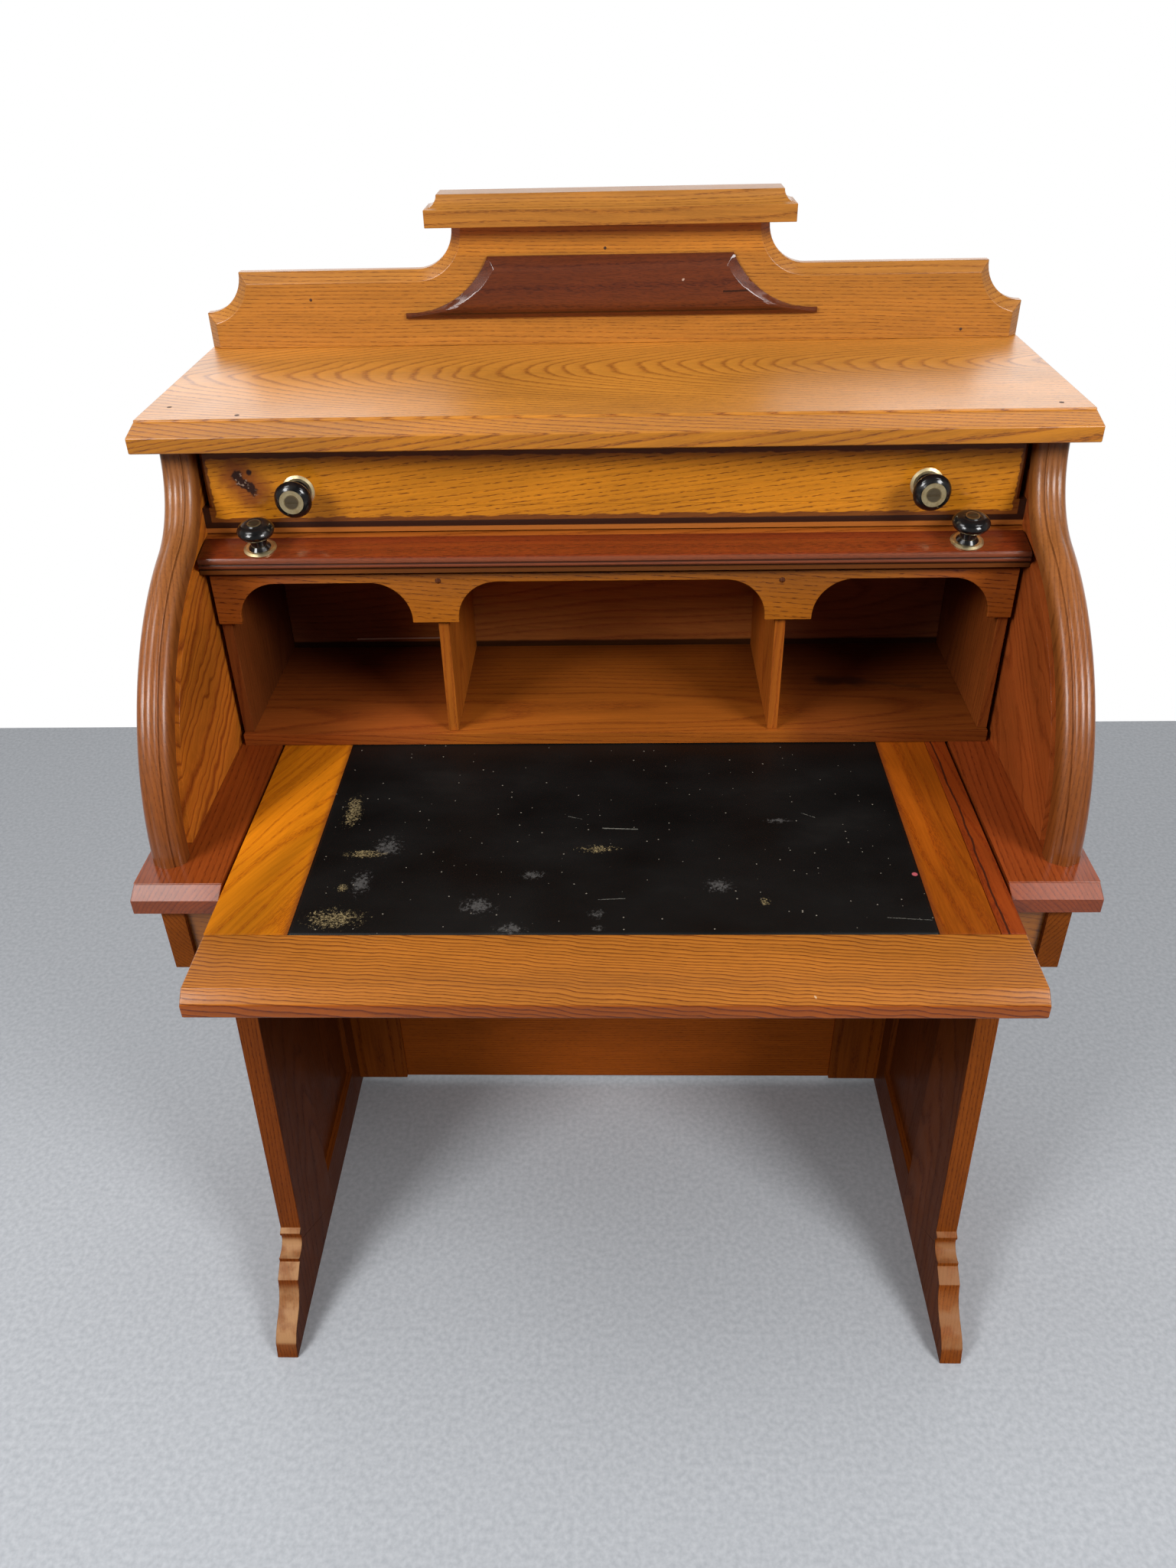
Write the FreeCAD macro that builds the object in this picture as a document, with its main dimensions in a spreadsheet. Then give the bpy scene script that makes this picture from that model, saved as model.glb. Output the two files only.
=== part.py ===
import FreeCAD, Part
import math
import os

import Sketcher
from FreeCAD import Placement, Rotation, Vector

# Cylinder desk: a case with a turning quarter-cylinder lid (the roll), a drawer above it,
# a pull-out writing slide below it and pigeonholes behind it, on two framed ends.
# Millimetres and degrees. X runs to the right, Y to the back, Z up from the floor.
# It stands as in use: roll up, slide pulled out, drawer shut.

SIZES = {
    # Top board and the parts on it
    "top_width": 840,
    "top_depth": 289,
    "top_thick": 22,
    "top_bevel_run": 26,
    "top_bevel_drop": 8,
    "top_bevel_step": 1.5,
    "top_overhang": 18,
    "splash_end_inset": 1,
    "splash_thick": 20,
    "splash_ear_rise": 34,
    "splash_step_radius": 39,
    "splash_neck_width": 317,
    "splash_neck_radius": 38,
    "splash_neck_wall": 5,
    "splash_bevel": 10,
    "cap_overhang": 22,
    "cap_depth": 44,
    "cap_face": 16,
    "cap_cove": 12,
    "tablet_foot_width": 420,
    "tablet_head_width": 246,
    "tablet_height": 58,
    "tablet_tip": 5,
    "tablet_thick": 9,
    "tablet_rise": 28,
    "tablet_flare": 0.9,
    "tablet_edge": 3,
    "tablet_tip_bevel": 50,
    "tablet_end_bevel": 7,
    "tablet_foot_bevel": 9,
    "tablet_head_bevel": 11,
    "tablet_face_tip": 1,
    "tablet_face_flare": 1.47,
    # Case
    "bed_height": 681.5,
    "case_height": 303.5,
    "case_back": 322,
    "side_thick": 23.5,
    "side_back_inset": 2,
    "back_panel_thick": 10,
    "back_panel_inset": 4,
    # Beaded mouldings on the front edges of the case sides
    "moulding_gap": 8,
    "moulding_width": 19.6,
    "moulding_lap": 3,
    "neck_turn": 70.6,
    "neck_wall": 5,
    "shoulder_run": 8.5,
    "shoulder_drop": 11.5,
    "shoulder_step": 1.5,
    "shoulder_curve": 0.715,
    "bead_fillet": 1.2,
    "bead_rise": 1.8,
    # Roll: a quarter-cylinder panel with a moulded lip
    "roll_radius": 226,
    "roll_thick": 10,
    "roll_axis_drop": 11.5,
    "roll_rear_angle": 158,
    "roll_back_gap": 9.5,
    "roll_tongue": 6,
    "groove_depth": 7,
    "groove_clear": 0.7,
    "groove_overrun": 1.5,
    "groove_foot_angle": 1,
    "lip_tip_angle": 73.5,
    "lip_bead_angle": 75,
    "lip_back_angle": 83,
    "lip_proud": 1,
    "lip_depth": 15,
    "lip_face": 5,
    "lip_quirk_angle": 0.4,
    "lip_reed_radius": 2.8,
    "lip_bead_radius": 4.5,
    "lip_end_gap": 1,
    # Knobs
    "roll_knob_inset": 56,
    "roll_knob_angle": 78.5,
    "roll_knob_height": 27,
    "drawer_knob_inset": 92.5,
    "drawer_knob_drop": 46,
    "drawer_knob_height": 29,
    "knob_radius": 17,
    "knob_waist_radius": 7.6,
    "knob_base_radius": 10.2,
    "knob_base_thick": 3,
    "knob_shoulder_radius": 12,
    "knob_head_thick": 13,
    "knob_crown_rim": 1.5,
    "knob_crown_drop": 0.8,
    "knob_under_curve": 7.5,
    "knob_over_curve": 9,
    "rosette_radius": 15,
    "rosette_thick": 2,
    "rosette_edge": 0.8,
    "rosette_slope": 2.5,
    "drawer_ring_radius": 10.9,
    "drawer_screw_radius": 6.3,
    "roll_ring_radius": 6.2,
    "roll_screw_radius": 5.2,
    "ring_thick": 2.2,
    "ring_quirk": 0.5,
    "ring_quirk_floor": 1.4,
    "screw_thick": 2.4,
    "screw_recess": 2,
    "screw_fit": 0.3,
    "screw_slot_width": 1.8,
    "screw_slot_depth": 0.9,
    # Drawer
    "drawer_lead": 19,
    "drawer_depth": 222,
    "drawer_front_thick": 18,
    "drawer_front_bevel": 3,
    "drawer_wall": 10,
    "drawer_wall_drop": 8,
    "drawer_bottom_thick": 5,
    "drawer_bottom_lift": 3,
    "drawer_top_gap": 2,
    "drawer_side_gap": 6.5,
    "drawer_rail_depth": 32,
    "drawer_runner_width": 28,
    "roll_top_gap": 1.2,
    "knob_top_gap": 1,
    "running_gap": 0.3,
    # Pigeonholes
    "hole_lead": 50.4,
    "hole_lip_gap": 8,
    "hole_roll_gap": 6.6,
    "hole_side_gap": 5,
    "hole_back_inset": 95,
    "hole_floor_thick": 13,
    "hole_side_thick": 10,
    "hole_top_thick": 7,
    "hole_back_thick": 6,
    "divider_place": 160,
    "divider_thick": 10,
    "valance_thick": 5.5,
    "valance_bar": 8.5,
    "arch_radius": 38,
    "arch_foot": 3,
    "valance_end": 22,
    "pendant_offset": 6,
    "pendant_width": 44,
    # Bed and aprons
    "bed_overhang": 11,
    "bed_side_width": 77,
    "bed_thick": 22,
    "bed_lead": 34,
    "bed_bevel_run": 14,
    "bed_bevel_drop": 8,
    "bed_bevel_step": 1.2,
    "apron_inset": 8,
    "apron_thick": 20,
    "apron_height": 71.5,
    "apron_setback": 9.6,
    "front_apron_inset": 5,
    "apron_back_inset": 20,
    "runner_thick": 20,
    "runner_lap": 15,
    # Writing slide
    "slide_length": 472,
    "slide_thick": 22,
    "slide_out": 123.4,
    "slide_side_gap": 3,
    "slide_top_gap": 0.5,
    "slide_back_gap": 2,
    "slide_rail_depth": 72,
    "slide_bevel_run": 10,
    "slide_bevel_drop": 9,
    "slide_stile_width": 69.3,
    "slide_strip_width": 20.2,
    "slide_strip_gap": 0.5,
    "slide_back_rail": 43,
    "leather_thick": 1.5,
    # Framed ends and back
    "leg_thick": 24,
    "leg_setback": 102,
    "leg_lean": 35,
    "leg_top_width": 86,
    "ankle_height": 114,
    "ledge_reach": 6,
    "ledge_drop": 3,
    "ledge_edge": 4,
    "quirk_reach": 3,
    "quirk_drop": 2,
    "bead_reach": 22,
    "bead_drop": 14,
    "bead_radius": 15,
    "foot_edge": 6,
    "foot_slope_reach": 17,
    "foot_slope_drop": 11,
    "cavetto_reach": 27,
    "cavetto_drop": 36,
    "cavetto_radius": 42,
    "toe_round_reach": 20,
    "toe_round_drop": 19,
    "toe_round_radius": 40,
    "toe_tip": 4,
    "rear_stile_width": 70,
    "leg_back_inset": 85,
    "end_rail_height": 60,
    "end_panel_thick": 9,
    "modesty_inset": 19,
    "modesty_thick": 18,
    "modesty_stile_width": 68,
    "modesty_panel_thick": 9,
    "modesty_lift": 13,
}

LEFT, RIGHT = 1, -1

doc = FreeCAD.newDocument("CylinderDesk")
sheet = doc.addObject("Spreadsheet::Sheet", "Sizes")


class Size:
    """A length or an angle: its number, and the sheet formula that gives it."""

    def __init__(self, number, formula):
        self.number = float(number)
        self.formula = formula

    def __add__(self, other):
        other = as_size(other)
        return Size(self.number + other.number, f"({self.formula} + {other.formula})")

    def __sub__(self, other):
        other = as_size(other)
        return Size(self.number - other.number, f"({self.formula} - {other.formula})")

    def __mul__(self, other):
        other = as_size(other)
        return Size(self.number * other.number, f"({self.formula} * {other.formula})")

    def __truediv__(self, other):
        other = as_size(other)
        return Size(self.number / other.number, f"({self.formula} / {other.formula})")

    def __rsub__(self, other):
        return as_size(other) - self

    def __neg__(self):
        return Size(-self.number, f"(-1 * {self.formula})")


def as_size(value):
    return value if isinstance(value, Size) else Size(value, str(value))


def sine(angle):
    return Size(math.sin(math.radians(angle.number)), f"sin({angle.formula})")


def cosine(angle):
    return Size(math.cos(math.radians(angle.number)), f"cos({angle.formula})")


def root(value):
    return Size(math.sqrt(value.number), f"sqrt({value.formula})")


def other_leg(hypotenuse, leg):
    return root(hypotenuse * hypotenuse - leg * leg)


class Sheet:
    """The driving dimensions by name."""


S = Sheet()
for row, (name, number) in enumerate(SIZES.items(), start=1):
    sheet.set(f"A{row}", name)
    sheet.set(f"B{row}", str(number))
    sheet.setAlias(f"B{row}", name)
    setattr(S, name, Size(number, f"Sizes.{name}"))
doc.recompute()

ZERO = Size(0, "0")
pieces = []


def keep(label, item):
    """Give a finished sub-part its name and put it on the list of files."""
    item.Label = label
    pieces.append(item)
    return item


def set_place(item, x, y, z):
    for letter, value in zip("xyz", (x, y, z)):
        item.setExpression(f"Placement.Base.{letter}", as_size(value).formula)


def sawn(label, low, high):
    """A plain block between two corners."""
    item = doc.addObject("Part::Box", label)
    for name, start, end in zip(("Length", "Width", "Height"), low, high):
        item.setExpression(name, (as_size(end) - as_size(start)).formula)
    set_place(item, *low)
    return item


def board(label, low, high):
    """A plain board, as a sub-part of its own."""
    return keep(label, sawn(label, low, high))


def pair(label, item):
    """A piece and its mirror image across the middle of the desk, as one node."""
    mirror = doc.addObject("Part::Mirroring", label + "Mirror")
    mirror.Source = item
    mirror.Normal = Vector(1, 0, 0)
    group = doc.addObject("Part::Compound", label)
    group.Links = [item, mirror]
    return keep(label, group)


def arc_edge(start, end, radius, turn):
    """The arc between two corners, less than half a circle, with its centre on the turn side."""
    chord = end - start
    across = Vector(-chord.y, chord.x, 0).normalize()
    rise = math.sqrt(max(radius ** 2 - chord.Length ** 2 / 4, 0))
    centre = (start + end) / 2 + across * rise * turn
    first, last = (start, end) if turn == LEFT else (end, start)
    angles = [math.atan2(point.y - centre.y, point.x - centre.x) for point in (first, last)]
    circle = Part.Circle(centre, Vector(0, 0, 1), radius)
    return Part.ArcOfCircle(circle, angles[0], angles[1])


def bind(sketch, constraint, value):
    index = sketch.addConstraint(constraint)
    sketch.setExpression(f"Constraints[{index}]", value.formula)


def draw(sketch, corners, closed=True):
    """Draw straight and round edges from corner to corner, each bound to the sheet.

    A corner is (a, b), or (a, b, radius, turn) where the edge that leaves it is an arc.
    """
    points = [Vector(as_size(c[0]).number, as_size(c[1]).number, 0) for c in corners]
    count = len(corners) if closed else len(corners) - 1
    starts, ends = [], []
    for index in range(count):
        corner = corners[index]
        here, there = points[index], points[(index + 1) % len(points)]
        if len(corner) == 2:
            sketch.addGeometry(Part.LineSegment(here, there), False)
            turn = LEFT
        else:
            turn = corner[3]
            sketch.addGeometry(arc_edge(here, there, as_size(corner[2]).number, turn), False)
        starts.append(1 if turn == LEFT else 2)
        ends.append(2 if turn == LEFT else 1)
    joins = count if closed else count - 1
    for index in range(joins):
        after = (index + 1) % count
        sketch.addConstraint(Sketcher.Constraint("Coincident", index, ends[index], after, starts[after]))
    places = [(index, starts[index]) for index in range(count)]
    if not closed:
        places.append((count - 1, ends[-1]))
    for (edge, vertex), corner, point in zip(places, corners, points):
        bind(sketch, Sketcher.Constraint("DistanceX", -1, 1, edge, vertex, point.x), as_size(corner[0]))
        bind(sketch, Sketcher.Constraint("DistanceY", -1, 1, edge, vertex, point.y), as_size(corner[1]))
    for index, corner in enumerate(corners[:count]):
        if len(corner) == 4:
            radius = as_size(corner[2])
            bind(sketch, Sketcher.Constraint("Radius", index, radius.number), radius)


def new_sketch(body, plane, offset, corners, closed=True):
    """A sketch on one of the body's origin planes, moved along that plane's normal."""
    sketch = body.newObject("Sketcher::SketchObject", body.Name + "Sketch")
    support = [item for item in body.Origin.OriginFeatures if item.Role == plane]
    sketch.AttachmentSupport = (support[0], [""])
    sketch.MapMode = "FlatFace"
    sketch.setExpression("AttachmentOffset.Base.z", as_size(offset).formula)
    draw(sketch, corners, closed)
    return sketch


def new_body(label):
    return doc.addObject("PartDesign::Body", label)


def add_pad(body, plane, corners, low, high):
    """Fill an outline between two places on the axis that the plane faces."""
    low, high = as_size(low), as_size(high)
    offset = -high if plane == "XZ_Plane" else low
    pad = body.newObject("PartDesign::Pad", body.Name + "Pad")
    pad.Profile = new_sketch(body, plane, offset, corners)
    pad.setExpression("Length", (high - low).formula)
    return pad


def cut_pocket(body, plane, corners, low, high):
    """Cut an outline away between two places on the axis that the plane faces."""
    low, high = as_size(low), as_size(high)
    offset = -low if plane == "XZ_Plane" else high
    pocket = body.newObject("PartDesign::Pocket", body.Name + "Pocket")
    pocket.Profile = new_sketch(body, plane, offset, corners)
    pocket.setExpression("Length", (high - low).formula)
    return pocket


def shaped(label, plane, corners, low, high):
    """A board sawn to an outline."""
    body = new_body(label)
    add_pad(body, plane, corners, low, high)
    return keep(label, body)


def bevel_front(body, pad, front, low, high, size):
    """Chamfer the front edges of a board, all but those that run along low or high."""
    doc.recompute()
    slack = size.number / 2
    chosen = []
    for index, edge in enumerate(pad.Shape.Edges, start=1):
        box = edge.BoundBox
        on_front = abs(box.YMax - front.number) < slack
        runs_low = box.ZMax - low.number < slack
        runs_high = high.number - box.ZMin < slack
        if on_front and not runs_low and not runs_high:
            chosen.append(f"Edge{index}")
    chamfer = body.newObject("PartDesign::Chamfer", body.Name + "Chamfer")
    chamfer.Base = (pad, chosen)
    chamfer.setExpression("Size", size.formula)


def span(side, inner, outer):
    """The low and high X of a piece that lies from inner to outer on one side of the middle."""
    return (inner, outer) if side == RIGHT else (-outer, -inner)


def sided(side, name):
    return ("right_" if side == RIGHT else "left_") + name


def rectangle(left, low, right, high):
    return [(left, low), (right, low), (right, high), (left, high)]


# Places that the pieces share
under_top = S.bed_height + S.case_height
top_surface = under_top + S.top_thick
top_front = S.case_back - S.top_depth
case_half = S.top_width / 2 - S.top_overhang
inner_half = case_half - S.side_thick
side_back = S.case_back - S.side_back_inset
back_panel_rear = S.case_back - S.back_panel_inset
back_panel_front = back_panel_rear - S.back_panel_thick

axis_z = S.bed_height - S.roll_axis_drop
axis_y = back_panel_front - S.roll_back_gap + S.roll_radius * cosine(S.roll_rear_angle)
roll_inner = S.roll_radius - S.roll_thick
lip_outer = S.roll_radius + S.lip_proud
lip_inner = lip_outer - S.lip_depth

moulding_inner = S.roll_radius + S.moulding_gap
moulding_outer = moulding_inner + S.moulding_width
neck_z = under_top - S.neck_wall
neck_reach = (neck_z - axis_z) / sine(S.neck_turn)
neck_radius = neck_reach - moulding_outer
neck_y = axis_y - neck_reach * cosine(S.neck_turn)

bed_under = S.bed_height - S.bed_thick
bed_half = case_half + S.bed_overhang
bed_front = axis_y - moulding_outer - S.bed_lead

well_half = bed_half - S.bed_side_width
slide_half = well_half - S.slide_side_gap
slide_top = S.bed_height - S.slide_top_gap
slide_under = slide_top - S.slide_thick
slide_front = bed_front - S.slide_out
slide_seam = slide_front + S.slide_rail_depth
slide_back = slide_front + S.slide_length
slide_shut_back = bed_front + S.slide_length

apron_half = case_half - S.apron_inset
apron_inner = apron_half - S.apron_thick
apron_front = bed_front + S.apron_setback
apron_rear = S.case_back - S.apron_back_inset
apron_under = bed_under - S.apron_height
runner_top = slide_under - S.running_gap
runner_under = runner_top - S.runner_thick

knob_height_rise = (lip_outer + S.roll_knob_height) * sine(S.roll_knob_angle)
knob_crown_radius = S.roll_ring_radius + S.knob_crown_rim
knob_top_z = axis_z + knob_height_rise + knob_crown_radius * cosine(S.roll_knob_angle)
drawer_front_y = axis_y - S.drawer_lead
drawer_half = inner_half - S.drawer_side_gap
rail_under = axis_z + S.roll_radius + S.roll_top_gap
rail_top = knob_top_z + S.knob_top_gap
drawer_under = rail_top + S.running_gap
drawer_top = under_top - S.drawer_top_gap
drawer_box_front = drawer_front_y + S.drawer_front_thick
drawer_rear = drawer_front_y + S.drawer_depth

hole_half = inner_half - S.hole_side_gap
hole_inner = hole_half - S.hole_side_thick
hole_floor_top = S.bed_height + S.hole_floor_thick
hole_front = axis_y - S.hole_lead
hole_frame_front = hole_front + S.valance_thick
hole_back = S.case_back - S.hole_back_inset
hole_rear = hole_back + S.hole_back_thick
hole_top = axis_z + other_leg(lip_inner - S.hole_lip_gap, axis_y - hole_front)
hole_reach = roll_inner - S.hole_roll_gap
hole_knee_z = axis_z + other_leg(hole_reach, hole_rear - axis_y)
hole_top_rear = axis_y + other_leg(hole_reach, hole_top - axis_z)
hole_top_under = hole_top - S.hole_top_thick

leg_inner = apron_half - S.leg_thick
leg_top_y = apron_front + S.leg_setback
leg_rear_edge = leg_top_y + S.leg_top_width
leg_back = S.case_back - S.leg_back_inset
rear_stile_edge = leg_back - S.rear_stile_width


def polar(radius, angle):
    """A (Y, Z) place on a circle about the roll's axis, by its angle above the front."""
    return (axis_y - radius * cosine(angle), axis_z + radius * sine(angle))


def make_top_board():
    step = top_front + S.top_bevel_run
    outline = [
        (top_front, under_top),
        (S.case_back, under_top),
        (S.case_back, top_surface),
        (step, top_surface),
        (step, top_surface - S.top_bevel_step),
        (top_front, top_surface - S.top_bevel_drop),
    ]
    shaped("top_board", "YZ_Plane", outline, -(S.top_width / 2), S.top_width / 2)


splash_front = S.case_back - S.splash_thick
splash_shoulder = top_surface + S.splash_ear_rise + S.splash_step_radius
splash_crest = splash_shoulder + S.splash_neck_radius + S.splash_neck_wall


def make_splashback():
    half = S.top_width / 2 - S.splash_end_inset
    neck = S.splash_neck_width / 2
    ear = top_surface + S.splash_ear_rise
    step, curve = S.splash_step_radius, S.splash_neck_radius
    outline = [
        (-half, top_surface),
        (half, top_surface),
        (half, ear, step, RIGHT),
        (half - step, splash_shoulder),
        (neck + curve, splash_shoulder, curve, RIGHT),
        (neck, splash_shoulder + curve),
        (neck, splash_crest),
        (-neck, splash_crest),
        (-neck, splash_shoulder + curve, curve, RIGHT),
        (-neck - curve, splash_shoulder),
        (-half + step, splash_shoulder, step, RIGHT),
        (-half, ear),
    ]
    body = new_body("splashback")
    pad = add_pad(body, "XZ_Plane", outline, splash_front, S.case_back)
    bevel_front(body, pad, splash_front, top_surface, splash_crest, S.splash_bevel)
    keep("splashback", body)


def make_crest_cap():
    half = S.splash_neck_width / 2 + S.cap_overhang
    front = S.case_back - S.cap_depth
    cove_foot = splash_crest + S.cap_face
    crown = cove_foot + S.cap_cove
    body = new_body("crest_cap")
    section = [
        (front, splash_crest),
        (S.case_back, splash_crest),
        (S.case_back, crown),
        (front + S.cap_cove, crown, S.cap_cove, RIGHT),
        (front, cove_foot),
    ]
    add_pad(body, "YZ_Plane", section, -half, half)
    for end in (LEFT, RIGHT):
        edge = -half if end == LEFT else half
        inner = edge + S.cap_cove * end
        corner = [
            (edge, cove_foot, S.cap_cove, end),
            (inner, crown),
            (edge, crown),
        ]
        cut_pocket(body, "XZ_Plane", corner, front, S.case_back)
    keep("crest_cap", body)


def make_tablet():
    foot, head = S.tablet_foot_width / 2, S.tablet_head_width / 2
    low = top_surface + S.tablet_rise
    high = low + S.tablet_height
    tip = low + S.tablet_tip
    run, rise = foot - head, high - tip
    flare = root(run * run + rise * rise) * S.tablet_flare
    outline = [
        (-foot, low),
        (foot, low),
        (foot, tip, flare, RIGHT),
        (head, high),
        (-head, high, flare, RIGHT),
        (-foot, tip),
    ]
    face_low, face_high = low + S.tablet_foot_bevel, high - S.tablet_head_bevel
    face_foot, face_head = foot - S.tablet_tip_bevel, head - S.tablet_end_bevel
    face_tip = face_low + S.tablet_face_tip
    run, rise = face_foot - face_head, face_high - face_tip
    flare = root(run * run + rise * rise) * S.tablet_face_flare
    face = [
        (-face_foot, face_low),
        (face_foot, face_low),
        (face_foot, face_tip, flare, RIGHT),
        (face_head, face_high),
        (-face_head, face_high, flare, RIGHT),
        (-face_foot, face_tip),
    ]
    body = new_body("splashback_tablet")
    edge = splash_front - S.tablet_edge
    add_pad(body, "XZ_Plane", outline, edge, splash_front)
    bevel = body.newObject("PartDesign::AdditiveLoft", body.Name + "Bevel")
    bevel.Profile = new_sketch(body, "XZ_Plane", -edge, outline)
    bevel.Sections = [new_sketch(body, "XZ_Plane", S.tablet_thick - splash_front, face)]
    bevel.Ruled = True
    keep("splashback_tablet", body)


def make_case_side(side):
    """A case side with a curved front edge, and the arc groove that guides the roll."""
    neck_inner = neck_radius + S.moulding_width
    foot_y = axis_y - other_leg(moulding_inner, S.roll_axis_drop)
    turn_y, turn_z = polar(moulding_inner, S.neck_turn)
    outline = [
        (foot_y, S.bed_height, moulding_inner, RIGHT),
        (turn_y, turn_z, neck_inner, LEFT),
        (neck_y + neck_inner, neck_z),
        (neck_y + neck_inner, under_top),
        (side_back, under_top),
        (side_back, S.bed_height),
    ]
    label = sided(side, "case_side")
    body = new_body(label)
    add_pad(body, "YZ_Plane", outline, *span(side, inner_half, case_half))
    outer = S.roll_radius + S.groove_clear
    inner = roll_inner - S.groove_clear
    far = S.roll_rear_angle + S.groove_overrun
    groove = [
        (*polar(outer, S.groove_foot_angle), outer, RIGHT),
        polar(outer, far),
        (*polar(inner, far), inner, LEFT),
        polar(inner, S.groove_foot_angle),
    ]
    cut_pocket(body, "YZ_Plane", groove, *span(side, inner_half, inner_half + S.groove_depth))
    keep(label, body)


def make_side_moulding(side):
    """The beaded strip that follows the curved front edge of a case side."""
    label = sided(side, "side_moulding")
    low, high = span(side, inner_half - S.moulding_lap, case_half + S.moulding_lap)
    front = axis_y - moulding_outer
    ledge = front + S.bead_rise
    shoulder_top = ledge + S.shoulder_step
    shoulder_foot = front + S.shoulder_drop
    rise = shoulder_foot - shoulder_top
    shoulder = root(S.shoulder_run * S.shoulder_run + rise * rise) * S.shoulder_curve
    left, right = low + S.shoulder_run, high - S.shoulder_run
    bead_half = (right - left) / 2 - S.bead_fillet
    bead = (bead_half * bead_half + S.bead_rise * S.bead_rise) / (S.bead_rise * 2)
    section = [
        (low, axis_y - moulding_inner),
        (low, shoulder_foot, shoulder, LEFT),
        (left, shoulder_top),
        (left, ledge),
        (left + S.bead_fillet, ledge, bead, LEFT),
        (right - S.bead_fillet, ledge),
        (right, ledge),
        (right, shoulder_top, shoulder, LEFT),
        (high, shoulder_foot),
        (high, axis_y - moulding_inner),
    ]
    path = [
        (front, axis_z, moulding_outer, RIGHT),
        (*polar(moulding_outer, S.neck_turn), neck_radius, LEFT),
        (neck_y + neck_radius, neck_z),
        (neck_y + neck_radius, under_top),
    ]
    body = new_body(label)
    profile = new_sketch(body, "XY_Plane", axis_z, section)
    spine = new_sketch(body, "YZ_Plane", low, path, closed=False)
    pipe = body.newObject("PartDesign::AdditivePipe", body.Name + "Pipe")
    pipe.Profile = profile
    pipe.Spine = (spine, [])
    foot = rectangle(low - S.side_thick, front - S.side_thick, high + S.side_thick, axis_y)
    cut_pocket(body, "XY_Plane", foot, axis_z - S.roll_axis_drop, S.bed_height)
    keep(label, body)


def make_case_back():
    low = (-inner_half, back_panel_front, S.bed_height)
    board("upper_back_panel", low, (inner_half, back_panel_rear, under_top))


def make_drawer_support():
    back = drawer_front_y + S.drawer_rail_depth
    board("drawer_rail", (-inner_half, drawer_front_y, rail_under), (inner_half, back, rail_top))
    low = (inner_half - S.drawer_runner_width, back, rail_under)
    pair("drawer_runners", sawn("drawer_runner", low, (inner_half, back_panel_front, rail_top)))


def make_bed():
    step = bed_front + S.bed_bevel_run
    outline = [
        (bed_front, bed_under),
        (side_back, bed_under),
        (side_back, S.bed_height),
        (step, S.bed_height),
        (step, S.bed_height - S.bed_bevel_step),
        (bed_front, S.bed_height - S.bed_bevel_drop),
    ]
    for side in (LEFT, RIGHT):
        shaped(sided(side, "bed_board"), "YZ_Plane", outline, *span(side, well_half, bed_half))
    low = (-well_half, slide_shut_back + S.slide_back_gap, bed_under)
    board("rear_bed_board", low, (well_half, side_back, S.bed_height))


def make_aprons():
    front = apron_front + S.front_apron_inset
    behind = front + S.apron_thick
    board("front_apron", (-apron_inner, front, apron_under), (apron_inner, behind, runner_top))
    rear = apron_rear - S.apron_thick
    board("rear_apron", (-apron_inner, rear, apron_under), (apron_inner, apron_rear, bed_under))
    for side in (LEFT, RIGHT):
        low, high = span(side, apron_inner, apron_half)
        board(sided(side, "apron"), (low, apron_front, apron_under), (high, apron_rear, bed_under))
    low = (slide_half - S.runner_lap, behind, runner_under)
    pair("slide_runners", sawn("slide_runner", low, (apron_inner, rear, runner_top)))


def make_front_leg(side):
    """The front stile of an end frame, with its moulded ankle and toe."""
    stops = [
        (leg_top_y - S.leg_lean, S.ankle_height),
    ]

    def step(reach, drop, *arc):
        y, z = stops[-1][:2]
        if arc:
            stops[-1] = (y, z, *arc)
        stops.append((y - reach, z - drop))

    step(S.ledge_reach, S.ledge_drop)
    step(ZERO, S.ledge_edge)
    step(-S.quirk_reach, S.quirk_drop)
    step(S.bead_reach, S.bead_drop, S.bead_radius, RIGHT)
    step(ZERO, S.foot_edge)
    step(S.foot_slope_reach, S.foot_slope_drop)
    step(S.cavetto_reach, S.cavetto_drop, S.cavetto_radius, RIGHT)
    step(S.toe_round_reach, S.toe_round_drop, S.toe_round_radius, LEFT)
    toe_y = stops[-1][0] - S.toe_tip
    outline = [(leg_rear_edge, apron_under), (leg_top_y, apron_under)] + stops
    outline += [(toe_y, ZERO), (leg_rear_edge, ZERO)]
    shaped(sided(side, "front_leg"), "YZ_Plane", outline, *span(side, leg_inner, apron_half))


def make_end_frame(side):
    make_front_leg(side)
    low, high = span(side, leg_inner, apron_half)
    board(sided(side, "rear_stile"), (low, rear_stile_edge, ZERO), (high, leg_back, apron_under))
    board(sided(side, "end_rail"), (low, leg_rear_edge, ZERO), (high, rear_stile_edge, S.end_rail_height))
    middle = (leg_inner + apron_half) / 2
    panel = span(side, middle - S.end_panel_thick / 2, middle + S.end_panel_thick / 2)
    foot = (panel[0], leg_rear_edge, S.end_rail_height)
    board(sided(side, "end_panel"), foot, (panel[1], rear_stile_edge, apron_under))


def make_modesty_frame():
    back = leg_back - S.modesty_inset
    front = back - S.modesty_thick
    stile_edge = leg_inner - S.modesty_stile_width
    for side in (LEFT, RIGHT):
        low, high = span(side, stile_edge, leg_inner)
        name = sided(side, "modesty_stile")
        board(name, (low, front, S.modesty_lift), (high, back, runner_under))
    middle = (front + back) / 2
    low = (-stile_edge, middle - S.modesty_panel_thick / 2, S.modesty_lift)
    board("modesty_panel", low, (stile_edge, middle + S.modesty_panel_thick / 2, runner_under))


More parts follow.
